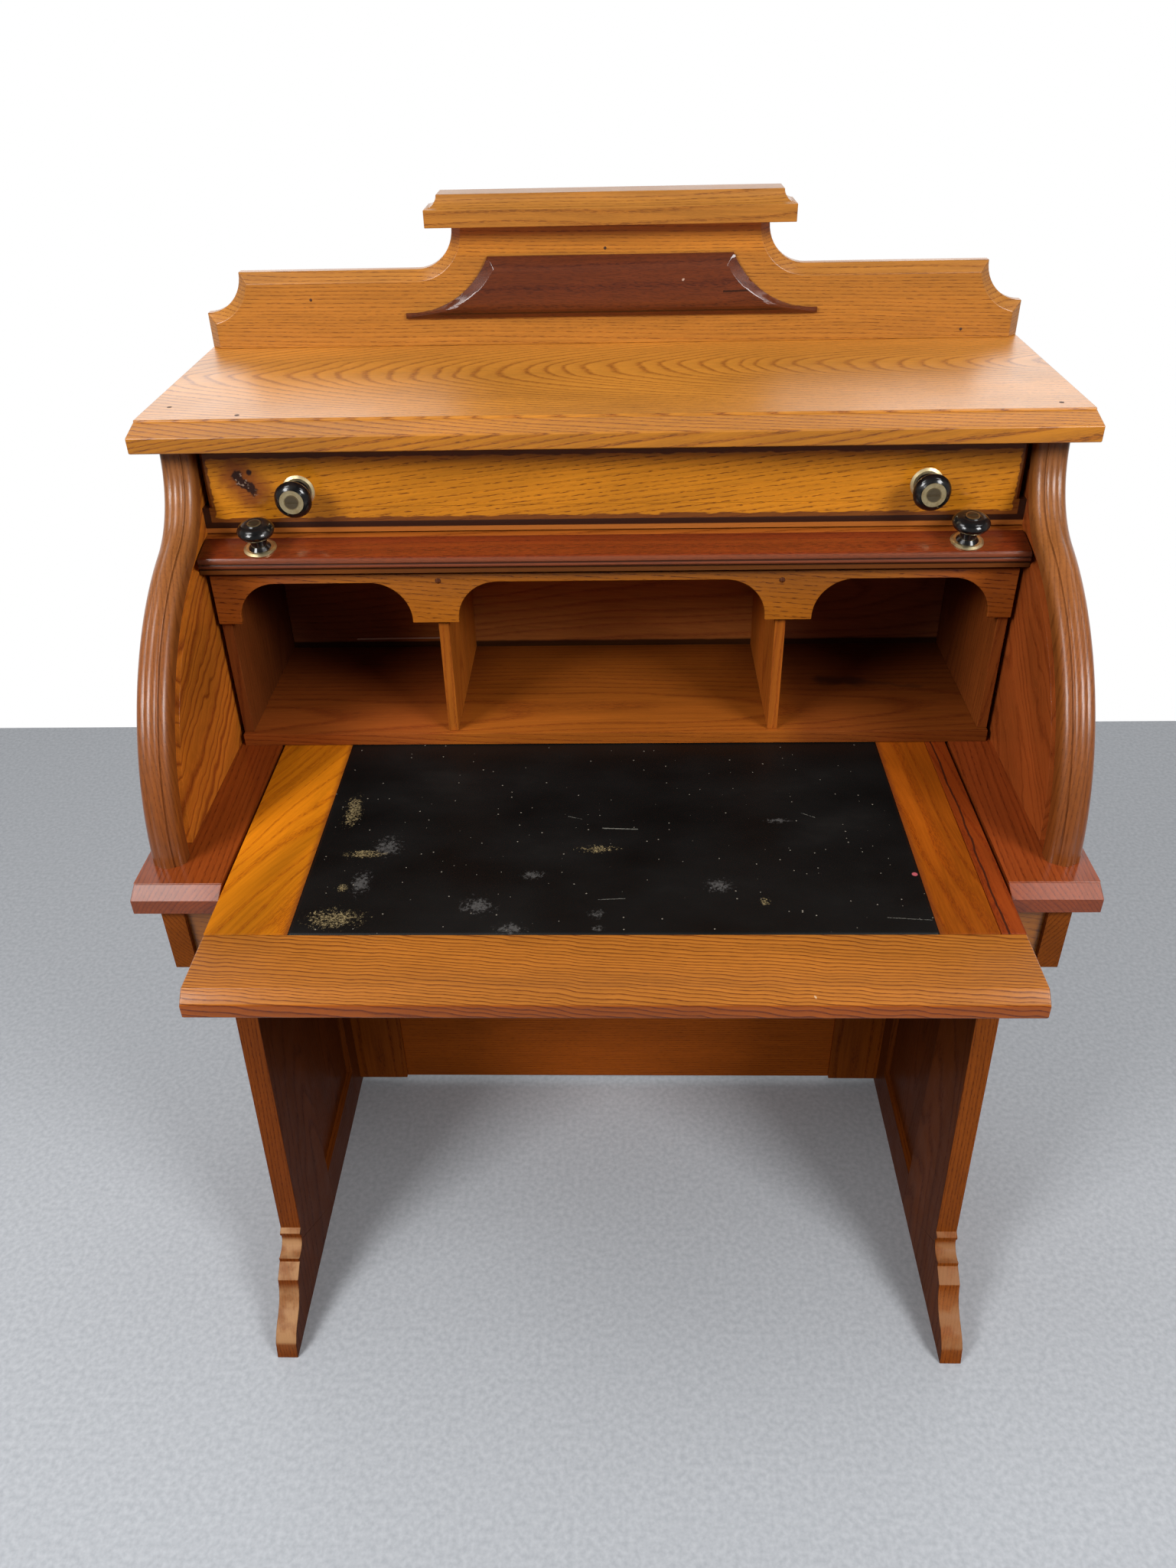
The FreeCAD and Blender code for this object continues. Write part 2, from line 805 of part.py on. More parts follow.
def make_pigeonholes():
    """Three compartments that stay inside the circle the roll turns in."""
    low = (-hole_half, hole_front, S.bed_height)
    board("pigeonhole_floor", low, (hole_half, hole_rear, hole_floor_top))
    end = [
        (hole_frame_front, hole_floor_top),
        (hole_rear, hole_floor_top),
        (hole_rear, hole_knee_z),
        (hole_top_rear, hole_top),
        (hole_frame_front, hole_top),
    ]
    inside = [
        (hole_frame_front, hole_floor_top),
        (hole_back, hole_floor_top),
        (hole_back, hole_knee_z),
        (hole_top_rear, hole_top_under),
        (hole_frame_front, hole_top_under),
    ]
    half = S.divider_thick / 2
    for side in (LEFT, RIGHT):
        shaped(sided(side, "pigeonhole_side"), "YZ_Plane", end, *span(side, hole_inner, hole_half))
        place = span(side, S.divider_place - half, S.divider_place + half)
        shaped(sided(side, "pigeonhole_divider"), "YZ_Plane", inside, *place)
    low = (-hole_inner, hole_frame_front, hole_top_under)
    board("pigeonhole_top", low, (hole_inner, hole_top_rear, hole_top))
    low = (-hole_inner, hole_back, hole_floor_top)
    board("pigeonhole_back", low, (hole_inner, hole_rear, hole_knee_z))
    slope = [
        (hole_top_rear, hole_top_under),
        (hole_back, hole_knee_z),
        (hole_rear, hole_knee_z),
        (hole_top_rear, hole_top),
    ]
    shaped("pigeonhole_back_slope", "YZ_Plane", slope, -hole_inner, hole_inner)


def make_valance():
    arch_top = hole_top - S.valance_bar
    spring = arch_top - S.arch_radius
    low = spring - S.arch_foot
    pendant = S.divider_place + S.pendant_offset
    inner = pendant - S.pendant_width / 2
    outer = pendant + S.pendant_width / 2
    end = hole_half - S.valance_end
    outline = [(-hole_half, low)]
    for start, stop in ((-end, -outer), (-inner, inner), (outer, end)):
        outline += [
            (start, low),
            (start, spring, S.arch_radius, RIGHT),
            (start + S.arch_radius, arch_top),
            (stop - S.arch_radius, arch_top, S.arch_radius, RIGHT),
            (stop, spring),
            (stop, low),
        ]
    outline += [(hole_half, low), (hole_half, hole_top), (-hole_half, hole_top)]
    shaped("pigeonhole_valance", "XZ_Plane", outline, hole_front, hole_frame_front)


def make_drawer():
    body = new_body("drawer_front")
    outline = rectangle(-drawer_half, drawer_under, drawer_half, drawer_top)
    pad = add_pad(body, "XZ_Plane", outline, drawer_front_y, drawer_box_front)
    bevel_front(body, pad, drawer_front_y, drawer_under, drawer_top * 2, S.drawer_front_bevel)
    keep("drawer_front", body)
    inner = drawer_half - S.drawer_wall
    wall_top = drawer_top - S.drawer_wall_drop
    for side in (LEFT, RIGHT):
        low, high = span(side, inner, drawer_half)
        name = sided(side, "drawer_side")
        board(name, (low, drawer_box_front, drawer_under), (high, drawer_rear, wall_top))
    floor_under = drawer_under + S.drawer_bottom_lift
    floor_top = floor_under + S.drawer_bottom_thick
    board("drawer_bottom", (-inner, drawer_box_front, floor_under), (inner, drawer_rear, floor_top))
    back_front = drawer_rear - S.drawer_wall
    board("drawer_back", (-inner, back_front, floor_top), (inner, drawer_rear, wall_top))


def turned(label, corners):
    """A piece turned on the lathe about its own Z axis."""
    body = new_body(label)
    sketch = new_sketch(body, "XZ_Plane", ZERO, corners)
    turning = body.newObject("PartDesign::Revolution", body.Name + "Turning")
    turning.Profile = sketch
    turning.ReferenceAxis = (sketch, ["V_Axis"])
    turning.Angle = 360
    return body


def stand_out(body, x, y, z, lean):
    """Place a turned piece with its axis tipped to the front by the lean angle."""
    body.Placement = Placement(Vector(), Rotation(Vector(1, 0, 0), lean.number))
    set_place(body, x, y, z)
    body.setExpression("Placement.Rotation.Angle", lean.formula)


def make_knobs(owner, place, height, y, z, lean, ring, screw_radius):
    """Two knobs, each a brass rosette, a black turned knob and a slotted brass screw in a ring."""
    edge = S.rosette_radius - S.rosette_slope
    rosette = turned(owner + "_knob_rosette", [
        (ZERO, ZERO),
        (S.rosette_radius, ZERO),
        (S.rosette_radius, S.rosette_edge),
        (edge, S.rosette_thick),
        (ZERO, S.rosette_thick),
    ])
    recess = ring + S.screw_fit
    crown = ring + S.knob_crown_rim
    floor = height - S.screw_recess
    base_top = S.rosette_thick + S.knob_base_thick
    head_under = height - S.knob_head_thick
    knob = turned(owner + "_knob", [
        (ZERO, S.rosette_thick),
        (S.knob_base_radius, S.rosette_thick),
        (S.knob_waist_radius, base_top),
        (S.knob_waist_radius, head_under - S.knob_base_thick),
        (S.knob_shoulder_radius, head_under, S.knob_under_curve, LEFT),
        (S.knob_radius, head_under + S.knob_head_thick / 2, S.knob_over_curve, LEFT),
        (crown, height - S.knob_crown_drop),
        (recess, height),
        (recess, floor),
        (ZERO, floor),
    ])
    screw = turned(owner + "_knob_screw", [
        (ZERO, floor),
        (ring, floor),
        (ring, floor + S.ring_thick),
        (screw_radius + S.ring_quirk, floor + S.ring_thick),
        (screw_radius + S.ring_quirk, floor + S.ring_quirk_floor),
        (screw_radius, floor + S.ring_quirk_floor),
        (screw_radius, floor + S.screw_thick),
        (ZERO, floor + S.screw_thick),
    ])
    half = S.screw_slot_width / 2
    slot = rectangle(-screw_radius, -half, screw_radius, half)
    slot_floor = floor + S.screw_thick - S.screw_slot_depth
    cut_pocket(screw, "XY_Plane", slot, slot_floor, floor + S.screw_thick)
    for name, body in (("rosettes", rosette), ("handles", knob), ("screws", screw)):
        stand_out(body, place, y, z, lean)
        pair(f"{owner}_knob_{name}", body)


def make_roll():
    """The curved panel, with tongues that run in the side grooves, and its moulded lip."""
    reach = inner_half + S.roll_tongue
    panel = [
        (*polar(S.roll_radius, S.lip_back_angle), S.roll_radius, RIGHT),
        polar(S.roll_radius, S.roll_rear_angle),
        (*polar(roll_inner, S.roll_rear_angle), roll_inner, LEFT),
        polar(roll_inner, S.lip_back_angle),
    ]
    shaped("roll_panel", "YZ_Plane", panel, -reach, reach)
    face_top = lip_inner + S.lip_face
    bead_foot = S.lip_tip_angle + S.lip_quirk_angle
    reed_top = (face_top + lip_outer) / 2
    lip = [
        polar(lip_inner, S.lip_tip_angle),
        polar(face_top, S.lip_tip_angle),
        (*polar(face_top, bead_foot), S.lip_reed_radius, RIGHT),
        (*polar(reed_top, bead_foot), S.lip_bead_radius, RIGHT),
        (*polar(lip_outer, S.lip_bead_angle), lip_outer, RIGHT),
        polar(lip_outer, S.lip_back_angle),
        (*polar(lip_inner, S.lip_back_angle), lip_inner, LEFT),
    ]
    end = inner_half - S.lip_end_gap
    shaped("roll_lip", "YZ_Plane", lip, -end, end)


def make_slide():
    """The writing slide: a frame round a leather-covered board."""
    rail = [
        (slide_front, slide_under),
        (slide_seam, slide_under),
        (slide_seam, slide_top),
        (slide_front + S.slide_bevel_run, slide_top),
        (slide_front, slide_top - S.slide_bevel_drop),
    ]
    shaped("slide_front_rail", "YZ_Plane", rail, -slide_half, slide_half)
    inner = slide_half - S.slide_stile_width
    strip = slide_half - S.slide_strip_width
    low, high = (-slide_half, slide_seam, slide_under), (-inner, slide_back, slide_top)
    board("left_slide_stile", low, high)
    low, high = (inner, slide_seam, slide_under), (strip - S.slide_strip_gap, slide_back, slide_top)
    board("right_slide_stile", low, high)
    board("slide_edge_strip", (strip, slide_seam, slide_under), (slide_half, slide_back, slide_top))
    back_rail = slide_back - S.slide_back_rail
    board("slide_back_rail", (-inner, back_rail, slide_under), (inner, slide_back, slide_top))
    skin = slide_top - S.leather_thick
    board("slide_core", (-inner, slide_seam, slide_under), (inner, back_rail, skin))
    board("slide_leather", (-inner, slide_seam, skin), (inner, back_rail, slide_top))


def make_desk():
    make_top_board()
    make_splashback()
    make_crest_cap()
    make_tablet()
    for side in (LEFT, RIGHT):
        make_case_side(side)
        make_side_moulding(side)
        make_end_frame(side)
    make_case_back()
    make_drawer_support()
    make_bed()
    make_aprons()
    make_modesty_frame()
    make_pigeonholes()
    make_valance()
    make_drawer()
    level = Size(90, "90")
    place, height = inner_half - S.drawer_knob_inset, drawer_top - S.drawer_knob_drop
    rings = (S.drawer_ring_radius, S.drawer_screw_radius)
    make_knobs("drawer", place, S.drawer_knob_height, drawer_front_y, height, level, *rings)
    make_roll()
    knob_y, knob_z = polar(lip_outer, S.roll_knob_angle)
    place, lean = inner_half - S.roll_knob_inset, level - S.roll_knob_angle
    rings = (S.roll_ring_radius, S.roll_screw_radius)
    make_knobs("roll", place, S.roll_knob_height, knob_y, knob_z, lean, *rings)
    make_slide()


def check():
    faults = []
    for item in doc.Objects:
        if "Invalid" in item.State or "Error" in item.State:
            faults.append(f"{item.Label}: {item.State}")
    for item in pieces:
        if item.Shape.isNull() or not item.Shape.isValid() or not item.Shape.Solids:
            faults.append(f"{item.Label}: no valid solid")
    if faults:
        raise RuntimeError("; ".join(faults))


make_desk()
doc.recompute()
check()
os.makedirs("parts", exist_ok=True)
for item in pieces:
    item.Shape.exportStep(f"parts/{item.Label}.step")
whole = Part.makeCompound([item.Shape for item in pieces]).BoundBox
print(f"{len(pieces)} pieces, {whole.XLength:.1f} x {whole.YLength:.1f} x {whole.ZLength:.1f} mm")
print(f"Y {whole.YMin:.2f} to {whole.YMax:.2f}, Z {whole.ZMin:.2f} to {whole.ZMax:.2f}")
print(f"roll axis at Y {axis_y.number:.3f}, Z {axis_z.number:.3f}")
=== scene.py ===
# %% [markdown]
# A cylinder desk, seen with its roll up, its writing slide drawn out and its drawer shut.
# The packed solids already have the right shapes and places, so this lesson keeps them as they are.
# It gives them wood, leather, brass and black polish, then adds the small things a solid can't show.

# %% Load the desk
import math

import bmesh
import bpy
from mathutils import Matrix, Vector, noise


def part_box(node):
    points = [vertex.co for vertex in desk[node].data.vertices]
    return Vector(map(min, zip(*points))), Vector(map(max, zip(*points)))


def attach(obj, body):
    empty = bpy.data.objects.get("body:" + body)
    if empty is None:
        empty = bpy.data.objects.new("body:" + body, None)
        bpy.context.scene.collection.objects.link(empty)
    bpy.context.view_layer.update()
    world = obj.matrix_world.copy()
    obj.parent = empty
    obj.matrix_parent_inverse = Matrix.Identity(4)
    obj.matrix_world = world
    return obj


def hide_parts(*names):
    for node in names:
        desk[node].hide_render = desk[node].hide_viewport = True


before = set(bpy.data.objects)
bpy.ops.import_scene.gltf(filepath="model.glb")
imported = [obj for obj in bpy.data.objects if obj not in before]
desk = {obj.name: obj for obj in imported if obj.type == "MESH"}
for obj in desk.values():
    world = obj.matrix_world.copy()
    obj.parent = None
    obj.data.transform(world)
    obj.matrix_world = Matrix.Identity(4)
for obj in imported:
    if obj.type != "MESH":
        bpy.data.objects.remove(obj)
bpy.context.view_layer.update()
print("pieces of the desk:", len(desk))

# %% [markdown]
# The picture was taken from close in front of the desk, looking down at the writing slide.
# A camera can be aimed by eye, but here its place and turn were worked out from the desk's own corners.
# Writing the three directions of the camera as a matrix leaves no doubt about how it leans.

# %% Camera
EYE = Vector((0.0093, -0.9771, 1.3199))
YAW, PITCH, LEAN = (math.radians(a) for a in (1.973, 34.083, -1.369))
PICTURE_HEIGHT = 2049
FOCAL_PIXELS = 1552.4
SENSOR_HEIGHT = 36
studio = bpy.context.scene


def bring_in(name, data):
    thing = bpy.data.objects.new(name, data)
    studio.collection.objects.link(thing)
    return thing


forward = Vector((-math.sin(YAW) * math.cos(PITCH), math.cos(YAW) * math.cos(PITCH), -math.sin(PITCH)))
level = Vector((math.cos(YAW), math.sin(YAW), 0))
upright = level.cross(forward)
right = level * math.cos(LEAN) + upright * math.sin(LEAN)
up = upright * math.cos(LEAN) - level * math.sin(LEAN)

lens = bpy.data.cameras.new("picture_camera")
lens.sensor_fit = "VERTICAL"
lens.sensor_height = SENSOR_HEIGHT
lens.lens = FOCAL_PIXELS / PICTURE_HEIGHT * SENSOR_HEIGHT
camera = bring_in("picture_camera", lens)
camera.matrix_world = Matrix.Translation(EYE) @ Matrix((right, up, -forward)).transposed().to_4x4()
studio.camera = camera
studio.view_settings.view_transform = "Standard"
print("lens in mm:", round(lens.lens, 2))

# %% [markdown]
# The desk stands in a bright white room, lit from high on each side.
# One big lamp would be simpler, but two in front give the pairs of soft shadows inside the pigeonholes.
# A small lamp near the roof on each side lights the bed and the slide, the left one more than the right.
# A faint pair behind keeps the back of the desk readable.

# %% Lamps
FRONT_POWER, ROOF_POWER, BACK_POWER = 55, 8, 4.5
ROOF_LEFT_BIAS = 3


def softbox(name, place, target, size, power):
    lamp = bpy.data.lights.new(name, "AREA")
    lamp.size = size
    lamp.energy = power
    box = bring_in(name, lamp)
    box.location = place
    box.rotation_euler = (Vector(target) - Vector(place)).to_track_quat("-Z", "Y").to_euler()


for side, turn in (("left", -1), ("right", 1)):
    roof_power = ROOF_POWER - ROOF_LEFT_BIAS * turn
    softbox(side + "_front_lamp", (1.8 * turn, -1.75, 2.4), (0, 0, 0.8), 0.95, FRONT_POWER)
    softbox(side + "_roof_lamp", (1.2 * turn, -0.5, 2.5), (0.4 * turn, -0.3, 0.66), 0.6, roof_power)
    softbox(side + "_back_lamp", (1.1 * turn, 2.3, 2.1), (0, 0.2, 0.9), 0.9, BACK_POWER)
print("watts of lamplight:", sum(lamp.energy for lamp in bpy.data.lights))

# %% [markdown]
# The room itself is drawn by the world, and it looks plain white to the eye.
# The wood is lit far more gently, from above and a little from behind, or its colour would wash out.
# Varnish mirrors a wall, bright behind the desk and dim overhead, which gives the pale sheen on the top.
# The kind of ray that asks tells these cases apart, so no lamp has to be turned up to make the room white.

# %% White room
room = bpy.data.worlds.new("white_room")
room.use_nodes = True
studio.world = room
wires = room.node_tree
wires.nodes.clear()
rays = wires.nodes.new("ShaderNodeLightPath")
facing = wires.nodes.new("ShaderNodeSeparateXYZ")
wires.links.new(wires.nodes.new("ShaderNodeTexCoord").outputs["Generated"], facing.inputs[0])


def falling(direction, start, end, low, high):
    node = wires.nodes.new("ShaderNodeMapRange")
    for socket, value in (("From Min", start), ("From Max", end), ("To Min", low), ("To Max", high)):
        node.inputs[socket].default_value = value
    wires.links.new(facing.outputs[direction], node.inputs["Value"])
    return node.outputs[0]


def joined(operation, first, second):
    node = wires.nodes.new("ShaderNodeMath")
    node.operation = operation
    wires.links.new(first, node.inputs[0])
    wires.links.new(second, node.inputs[1])
    return node.outputs[0]


ambient = joined("ADD", falling("Z", 0.0, 1.0, 0.02, 0.45), falling("Y", 0.2, 0.9, 0.0, 0.22))
wall = joined("MULTIPLY", falling("Y", 0.1, 0.6, 0.25, 1.0), falling("Z", 0.50, 0.70, 1.0, 0.3))
shine = wires.nodes.new("ShaderNodeMix")
wires.links.new(rays.outputs["Is Glossy Ray"], shine.inputs["Factor"])
wires.links.new(ambient, shine.inputs["A"])
wires.links.new(wall, shine.inputs["B"])
clear = joined("MAXIMUM", rays.outputs["Is Camera Ray"], rays.outputs["Is Transmission Ray"])
glow = wires.nodes.new("ShaderNodeBackground")
glow.inputs["Color"].default_value = (1, 1, 1, 1)
wires.links.new(joined("MAXIMUM", clear, shine.outputs["Result"]), glow.inputs["Strength"])
sky = wires.nodes.new("ShaderNodeOutputWorld")
wires.links.new(glow.outputs[0], sky.inputs["Surface"])
print("steps in the white room:", len(wires.nodes))

# %% [markdown]
# Every finish below is mixed from the same few steps: put down a node, set it, and join it to others.
# Written out in full, each recipe would run to pages.
# A small class keeps the steps short, so that a recipe reads like a list of what is in the finish.
# The mixing node has sockets for numbers and for colours, so its colour ones are called by their places.

# %% A bench for mixing finishes
MIX_AMOUNT, MIX_UNDER, MIX_OVER, MIX_COLOUR = 0, 6, 7, 2


class Finish:
    def __init__(self, name):
        self.material = bpy.data.materials.new(name)
        self.material.use_nodes = True
        self.tree = self.material.node_tree
        self.tree.nodes.clear()
        self.skin = self.put("BsdfPrincipled")
        self.put("OutputMaterial", Surface=self.skin.outputs[0])
        self.place = self.put("TexCoord").outputs["Object"]

    def put(self, kind, settings=None, **sockets):
        node = self.tree.nodes.new("ShaderNode" + kind)
        for key, value in (settings or {}).items():
            setattr(node, key, value)
        for key, value in sockets.items():
            self.fill(node, key.replace("_", " "), value)
        return node

    def fill(self, node, key, value):
        socket = node.inputs[key]
        if isinstance(value, bpy.types.NodeSocket):
            self.tree.links.new(value, socket)
        elif socket.type == "RGBA" and len(value) == 3:
            socket.default_value = (*value, 1)
        else:
            socket.default_value = value

    def math(self, operation, a, b=0.0):
        node = self.put("Math", {"operation": operation})
        self.fill(node, 0, a)
        self.fill(node, 1, b)
        return node.outputs[0]

    def vector(self, operation, a, b=(0, 0, 0)):
        node = self.put("VectorMath", {"operation": operation})
        self.fill(node, 0, a)
        self.fill(node, 1, b)
        return node.outputs["Vector" if operation in ("ADD", "SUBTRACT", "MULTIPLY", "ABSOLUTE") else "Value"]

    def along(self, vector, axis):
        return self.put("SeparateXYZ", Vector=vector).outputs[axis]

    def facing(self, axis):
        return self.along(self.put("NewGeometry").outputs["Normal"], axis)

    def spread(self, value, low, high, to_low=0.0, to_high=1.0):
        node = self.put("MapRange", {"interpolation_type": "SMOOTHSTEP"}, Value=value)
        for key, limit in (("From Min", low), ("From Max", high), ("To Min", to_low), ("To Max", to_high)):
            self.fill(node, key, limit)
        return node.outputs[0]

    def swirl(self, vector, scale, detail=2.0, rough=0.5):
        stretched = self.vector("MULTIPLY", vector, scale)
        return self.put("TexNoise", Vector=stretched, Scale=1.0, Detail=detail, Roughness=rough).outputs

    def cloud(self, *recipe):
        return self.swirl(*recipe)[0]

    def ramp(self, value, stops):
        node = self.put("ValToRGB", Fac=value)
        line = node.color_ramp
        while len(line.elements) < len(stops):
            line.elements.new(0.5)
        for mark, (position, colour) in zip(line.elements, stops):
            mark.position = position
            mark.color = (*colour, 1)
        return node.outputs[0]

    def mix(self, amount, under, over, way="MIX"):
        node = self.put("Mix", {"data_type": "RGBA", "blend_type": way})
        self.fill(node, MIX_AMOUNT, amount)
        self.fill(node, MIX_UNDER, under)
        self.fill(node, MIX_OVER, over)
        return node.outputs[MIX_COLOUR]

    def stain(self, amount, under, tint):
        return self.mix(amount, under, tint, "MULTIPLY")

    def bump(self, height, distance, strength=1.0):
        node = self.put("Bump", Height=height, Distance=distance, Strength=strength)
        self.fill(self.skin, "Normal", node.outputs[0])


def mono(amount):
    return (amount, amount, amount)


print("steps on the bench:", len([step for step in vars(Finish) if not step.startswith("_")]))

# %% [markdown]
# The floor is plain and pale, so that nothing on it competes with the desk.
# One flat grey would look like paper, so a fine speckle is mixed into it.
# It throws back less light than it shows to the eye, or the underside of the desk would glow.

# %% Floor
FLOOR_CORNERS = [(-2.6, -2.2, 0), (2.6, -2.2, 0), (2.6, 1.2, 0), (-2.6, 1.2, 0)]
pale_floor = Finish("pale_floor")
specks = pale_floor.cloud(pale_floor.place, mono(160), 3)
pale = pale_floor.ramp(specks, [(0.3, (0.40, 0.42, 0.45)), (0.7, (0.50, 0.52, 0.55))])
looks = pale_floor.put("LightPath").outputs
looked_at = pale_floor.math("MAXIMUM", looks["Is Camera Ray"], looks["Is Glossy Ray"])
looked_at = pale_floor.math("MAXIMUM", looked_at, looks["Is Transmission Ray"])
pale_floor.fill(pale_floor.skin, "Base Color", pale_floor.mix(looked_at, mono(0.12), pale))
pale_floor.fill(pale_floor.skin, "Roughness", 0.85)

floor_mesh = bpy.data.meshes.new("floor")
floor_mesh.from_pydata(FLOOR_CORNERS, [], [(0, 1, 2, 3)])
floor_mesh.materials.append(pale_floor.material)
floor = bring_in("floor", floor_mesh)
print("floor in metres:", [round(v, 2) for v in floor.dimensions])

# %% [markdown]
# Most of the desk is a coarse oak-like wood with open pores under a golden satin varnish.
# A plank is a slice of a log, so the recipe lays a log in space and measures from each point to its heart.
# Where the slice runs near the heart the rings open into tall arches, and far from it they close to lines.
# So a piece needs only the place and the lean of its log, and its end grain comes out right by itself.

# %% Rings in a log
SWAY, RIPPLE = (2.6, 11, 11), (38, 22, 22)
FAT_YEARS = 55.0
UNEVENNESS = 1.6
ALONG = {"x": (0, 0, 0), "y": (0, 0, 90), "z": (0, -90, 0)}
EARLY_WOOD = [(0.0, mono(0.5)), (0.06, mono(1.0)), (0.3, mono(0.22)), (0.88, mono(0.0)), (1.0, mono(0.5))]


def log_of(f, along, heart, lean):
    turn = tuple(math.radians(a + b) for a, b in zip(ALONG[along], lean))
    log = f.put("Mapping", {"vector_type": "TEXTURE"}, Vector=f.place, Location=heart, Rotation=turn)
    return log.outputs[0]


def shaken(f, place, scale, detail, amount, source=None):
    shake = f.vector("SUBTRACT", f.swirl(source or place, scale, detail)["Color"], mono(0.5))
    return f.vector("ADD", place, f.vector("MULTIPLY", shake, mono(amount)))


def rings(f, log, kind):
    bent = shaken(f, log, SWAY, 2, kind["sway"])
    if kind["ripple"]:
        bent = shaken(f, bent, RIPPLE, 1, kind["ripple"], log)
    reach = f.vector("LENGTH", f.vector("MULTIPLY", bent, (0, 1, 1)))
    seasons = f.math("MULTIPLY", reach, FAT_YEARS)
    uneven = f.put("TexNoise", {"noise_dimensions": "1D"}, W=seasons, Scale=1.0, Detail=1.0).outputs[0]
    years = f.math("ADD", f.math("DIVIDE", reach, kind["ring"]), f.math("MULTIPLY", uneven, UNEVENNESS))
    return bent, f.ramp(f.math("FRACT", years), EARLY_WOOD)


print("share of a year that is early wood:", EARLY_WOOD[2][0])

# %% [markdown]
# Over the wood lies varnish, glossy on the show wood and thin inside the desk.
# It could be mixed into the wood's own shine, but the shader has a coat for it, which keeps the two apart.
# Varnish never fills an open pore, so the pores stay duller and a little sunken.

# %% Varnish
PORE_DEPTH = 0.00035
PORE_DULLS = 0.15
GLOSS_VARIES = 0.06
UNDER_COAT, BARE_WOOD = 0.04, 0.3


def varnish(f, kind, pores, fibre):
    rub = f.cloud(f.place, mono(30), 3)
    gloss = f.spread(rub, 0.3, 0.7, kind["rough"] - GLOSS_VARIES, kind["rough"] + GLOSS_VARIES)
    f.fill(f.skin, "Roughness", f.math("ADD", gloss, f.math("MULTIPLY", pores, PORE_DULLS)))
    f.fill(f.skin, "Specular IOR Level", UNDER_COAT if kind["coat"] else BARE_WOOD)
    f.fill(f.skin, "Coat IOR", kind["gleam"])
    f.fill(f.skin, "Coat Weight", kind["coat"])
    f.fill(f.skin, "Coat Roughness", kind["satin"])
    height = f.math("SUBTRACT", f.math("MULTIPLY", fibre, 0.25), f.math("MULTIPLY", pores, 0.8))
    f.bump(height, PORE_DEPTH, 0.6)


print("depth of a pore in mm:", PORE_DEPTH * 1000)

# %% [markdown]
# The colour is mixed next: pale late wood, darker early wood, and the short dark pores that crowd into it.
# Pores, fibres and cloudy patches are three noises, each stretched far longer along the log than across it.
# A stain then sets each piece apart, because no two boards of an old desk have kept the same colour, and on
# some boards it also holds painted shade.

# %% Oak
PORES, FIBRES, PATCHES = (130, 1350, 1350), (14, 420, 420), (3.0, 15, 15)


def tinted(colour, stain):
    return tuple(c * s for c, s in zip(colour, stain))


def oak(name, kind, along, heart, lean=(0, 0, 0), stain=(1, 1, 1), extra=None):
    f = Finish(name)
    log = log_of(f, along, heart, lean)
    bent, early = rings(f, log, kind)
    dashes = f.spread(f.cloud(bent, PORES, 1.5, 0.6), 0.50, 0.60)
    pores = f.math("MULTIPLY", dashes, f.spread(early, 0.0, 0.8, kind["stray"], 1.0))
    fibre = f.cloud(bent, FIBRES, 2)
    cloudy = f.cloud(log, PATCHES, 3)
    patchy = f.spread(cloudy, 0.25, 0.75, 1.0 - kind["cloud"], 1.0 + kind["cloud"])
    shade = f.math("ADD", f.spread(fibre, 0.25, 0.75, -0.10, 0.10), patchy)
    wood = f.mix(early, tinted(kind["late"], stain), tinted(kind["early"], stain))
    wood = f.stain(1.0, wood, shade)
    wood = f.mix(f.math("MULTIPLY", pores, kind["open"]), wood, tinted(kind["pore"], stain))
    if extra:
        wood = extra(f, wood)
    f.fill(f.skin, "Base Color", wood)
    varnish(f, kind, pores, fibre)
    return f.material


print("a pore is longer than wide by:", round(PORES[1] / PORES[0], 1))

# %% [markdown]
# The desk shows a dozen woods, from golden on the top to dark red on the splashback's tablet.
# They could be a dozen recipes, but they differ only in three colours and a few measures.
# Each look lists late wood, early wood, pore, ring width, sway of the rings, stray and open pores.
# The golden ones come first: top, splashback, drawer, slide and the left case side.

# %% Looks of the golden wood
def look(late, early, pore, ring, sway, stray, open_pores, **more):
    recipe = {"late": late, "early": early, "pore": pore, "ring": ring}
    recipe.update({"sway": sway, "stray": stray, "open": open_pores})
    recipe.update({"ripple": 0.0, "cloud": 0.15, "rough": 0.42, "coat": 1.0, "satin": 0.18, "gleam": 1.38})
    recipe.update(more)
    return recipe


GOLDEN = look((0.62, 0.228, 0.022), (0.50, 0.164, 0.014), (0.18, 0.046, 0.006), 0.0033, 0.014, 0.14, 0.6,
              satin=0.30, gleam=1.5)
TABLE = look((0.63, 0.236, 0.023), (0.43, 0.130, 0.011), (0.17, 0.042, 0.006), 0.0036, 0.014, 0.10, 0.75,
             satin=0.34, gleam=1.65)
DASHED = look((0.64, 0.232, 0.018), (0.58, 0.198, 0.014), (0.15, 0.034, 0.005), 0.0046, 0.010, 0.04, 0.85,
              gleam=1.33)
WAVY = look((0.70, 0.246, 0.022), (0.26, 0.064, 0.007), (0.14, 0.030, 0.005), 0.0030, 0.016, 0.10, 0.5,
            ripple=0.004, gleam=1.36)
SWEPT = look((0.63, 0.220, 0.022), (0.33, 0.085, 0.012), (0.14, 0.030, 0.005), 0.0110, 0.075, 0.14, 0.3,
             ripple=0.011, cloud=0.26, gleam=1.36)
AMBER = look((0.60, 0.195, 0.008), (0.52, 0.148, 0.006), (0.20, 0.040, 0.005), 0.0130, 0.060, 0.10, 0.4,
             cloud=0.36, coat=0.5, satin=0.25, gleam=1.33)
print("ring width in mm, top and slide rail:", TABLE["ring"] * 1000, WAVY["ring"] * 1000)

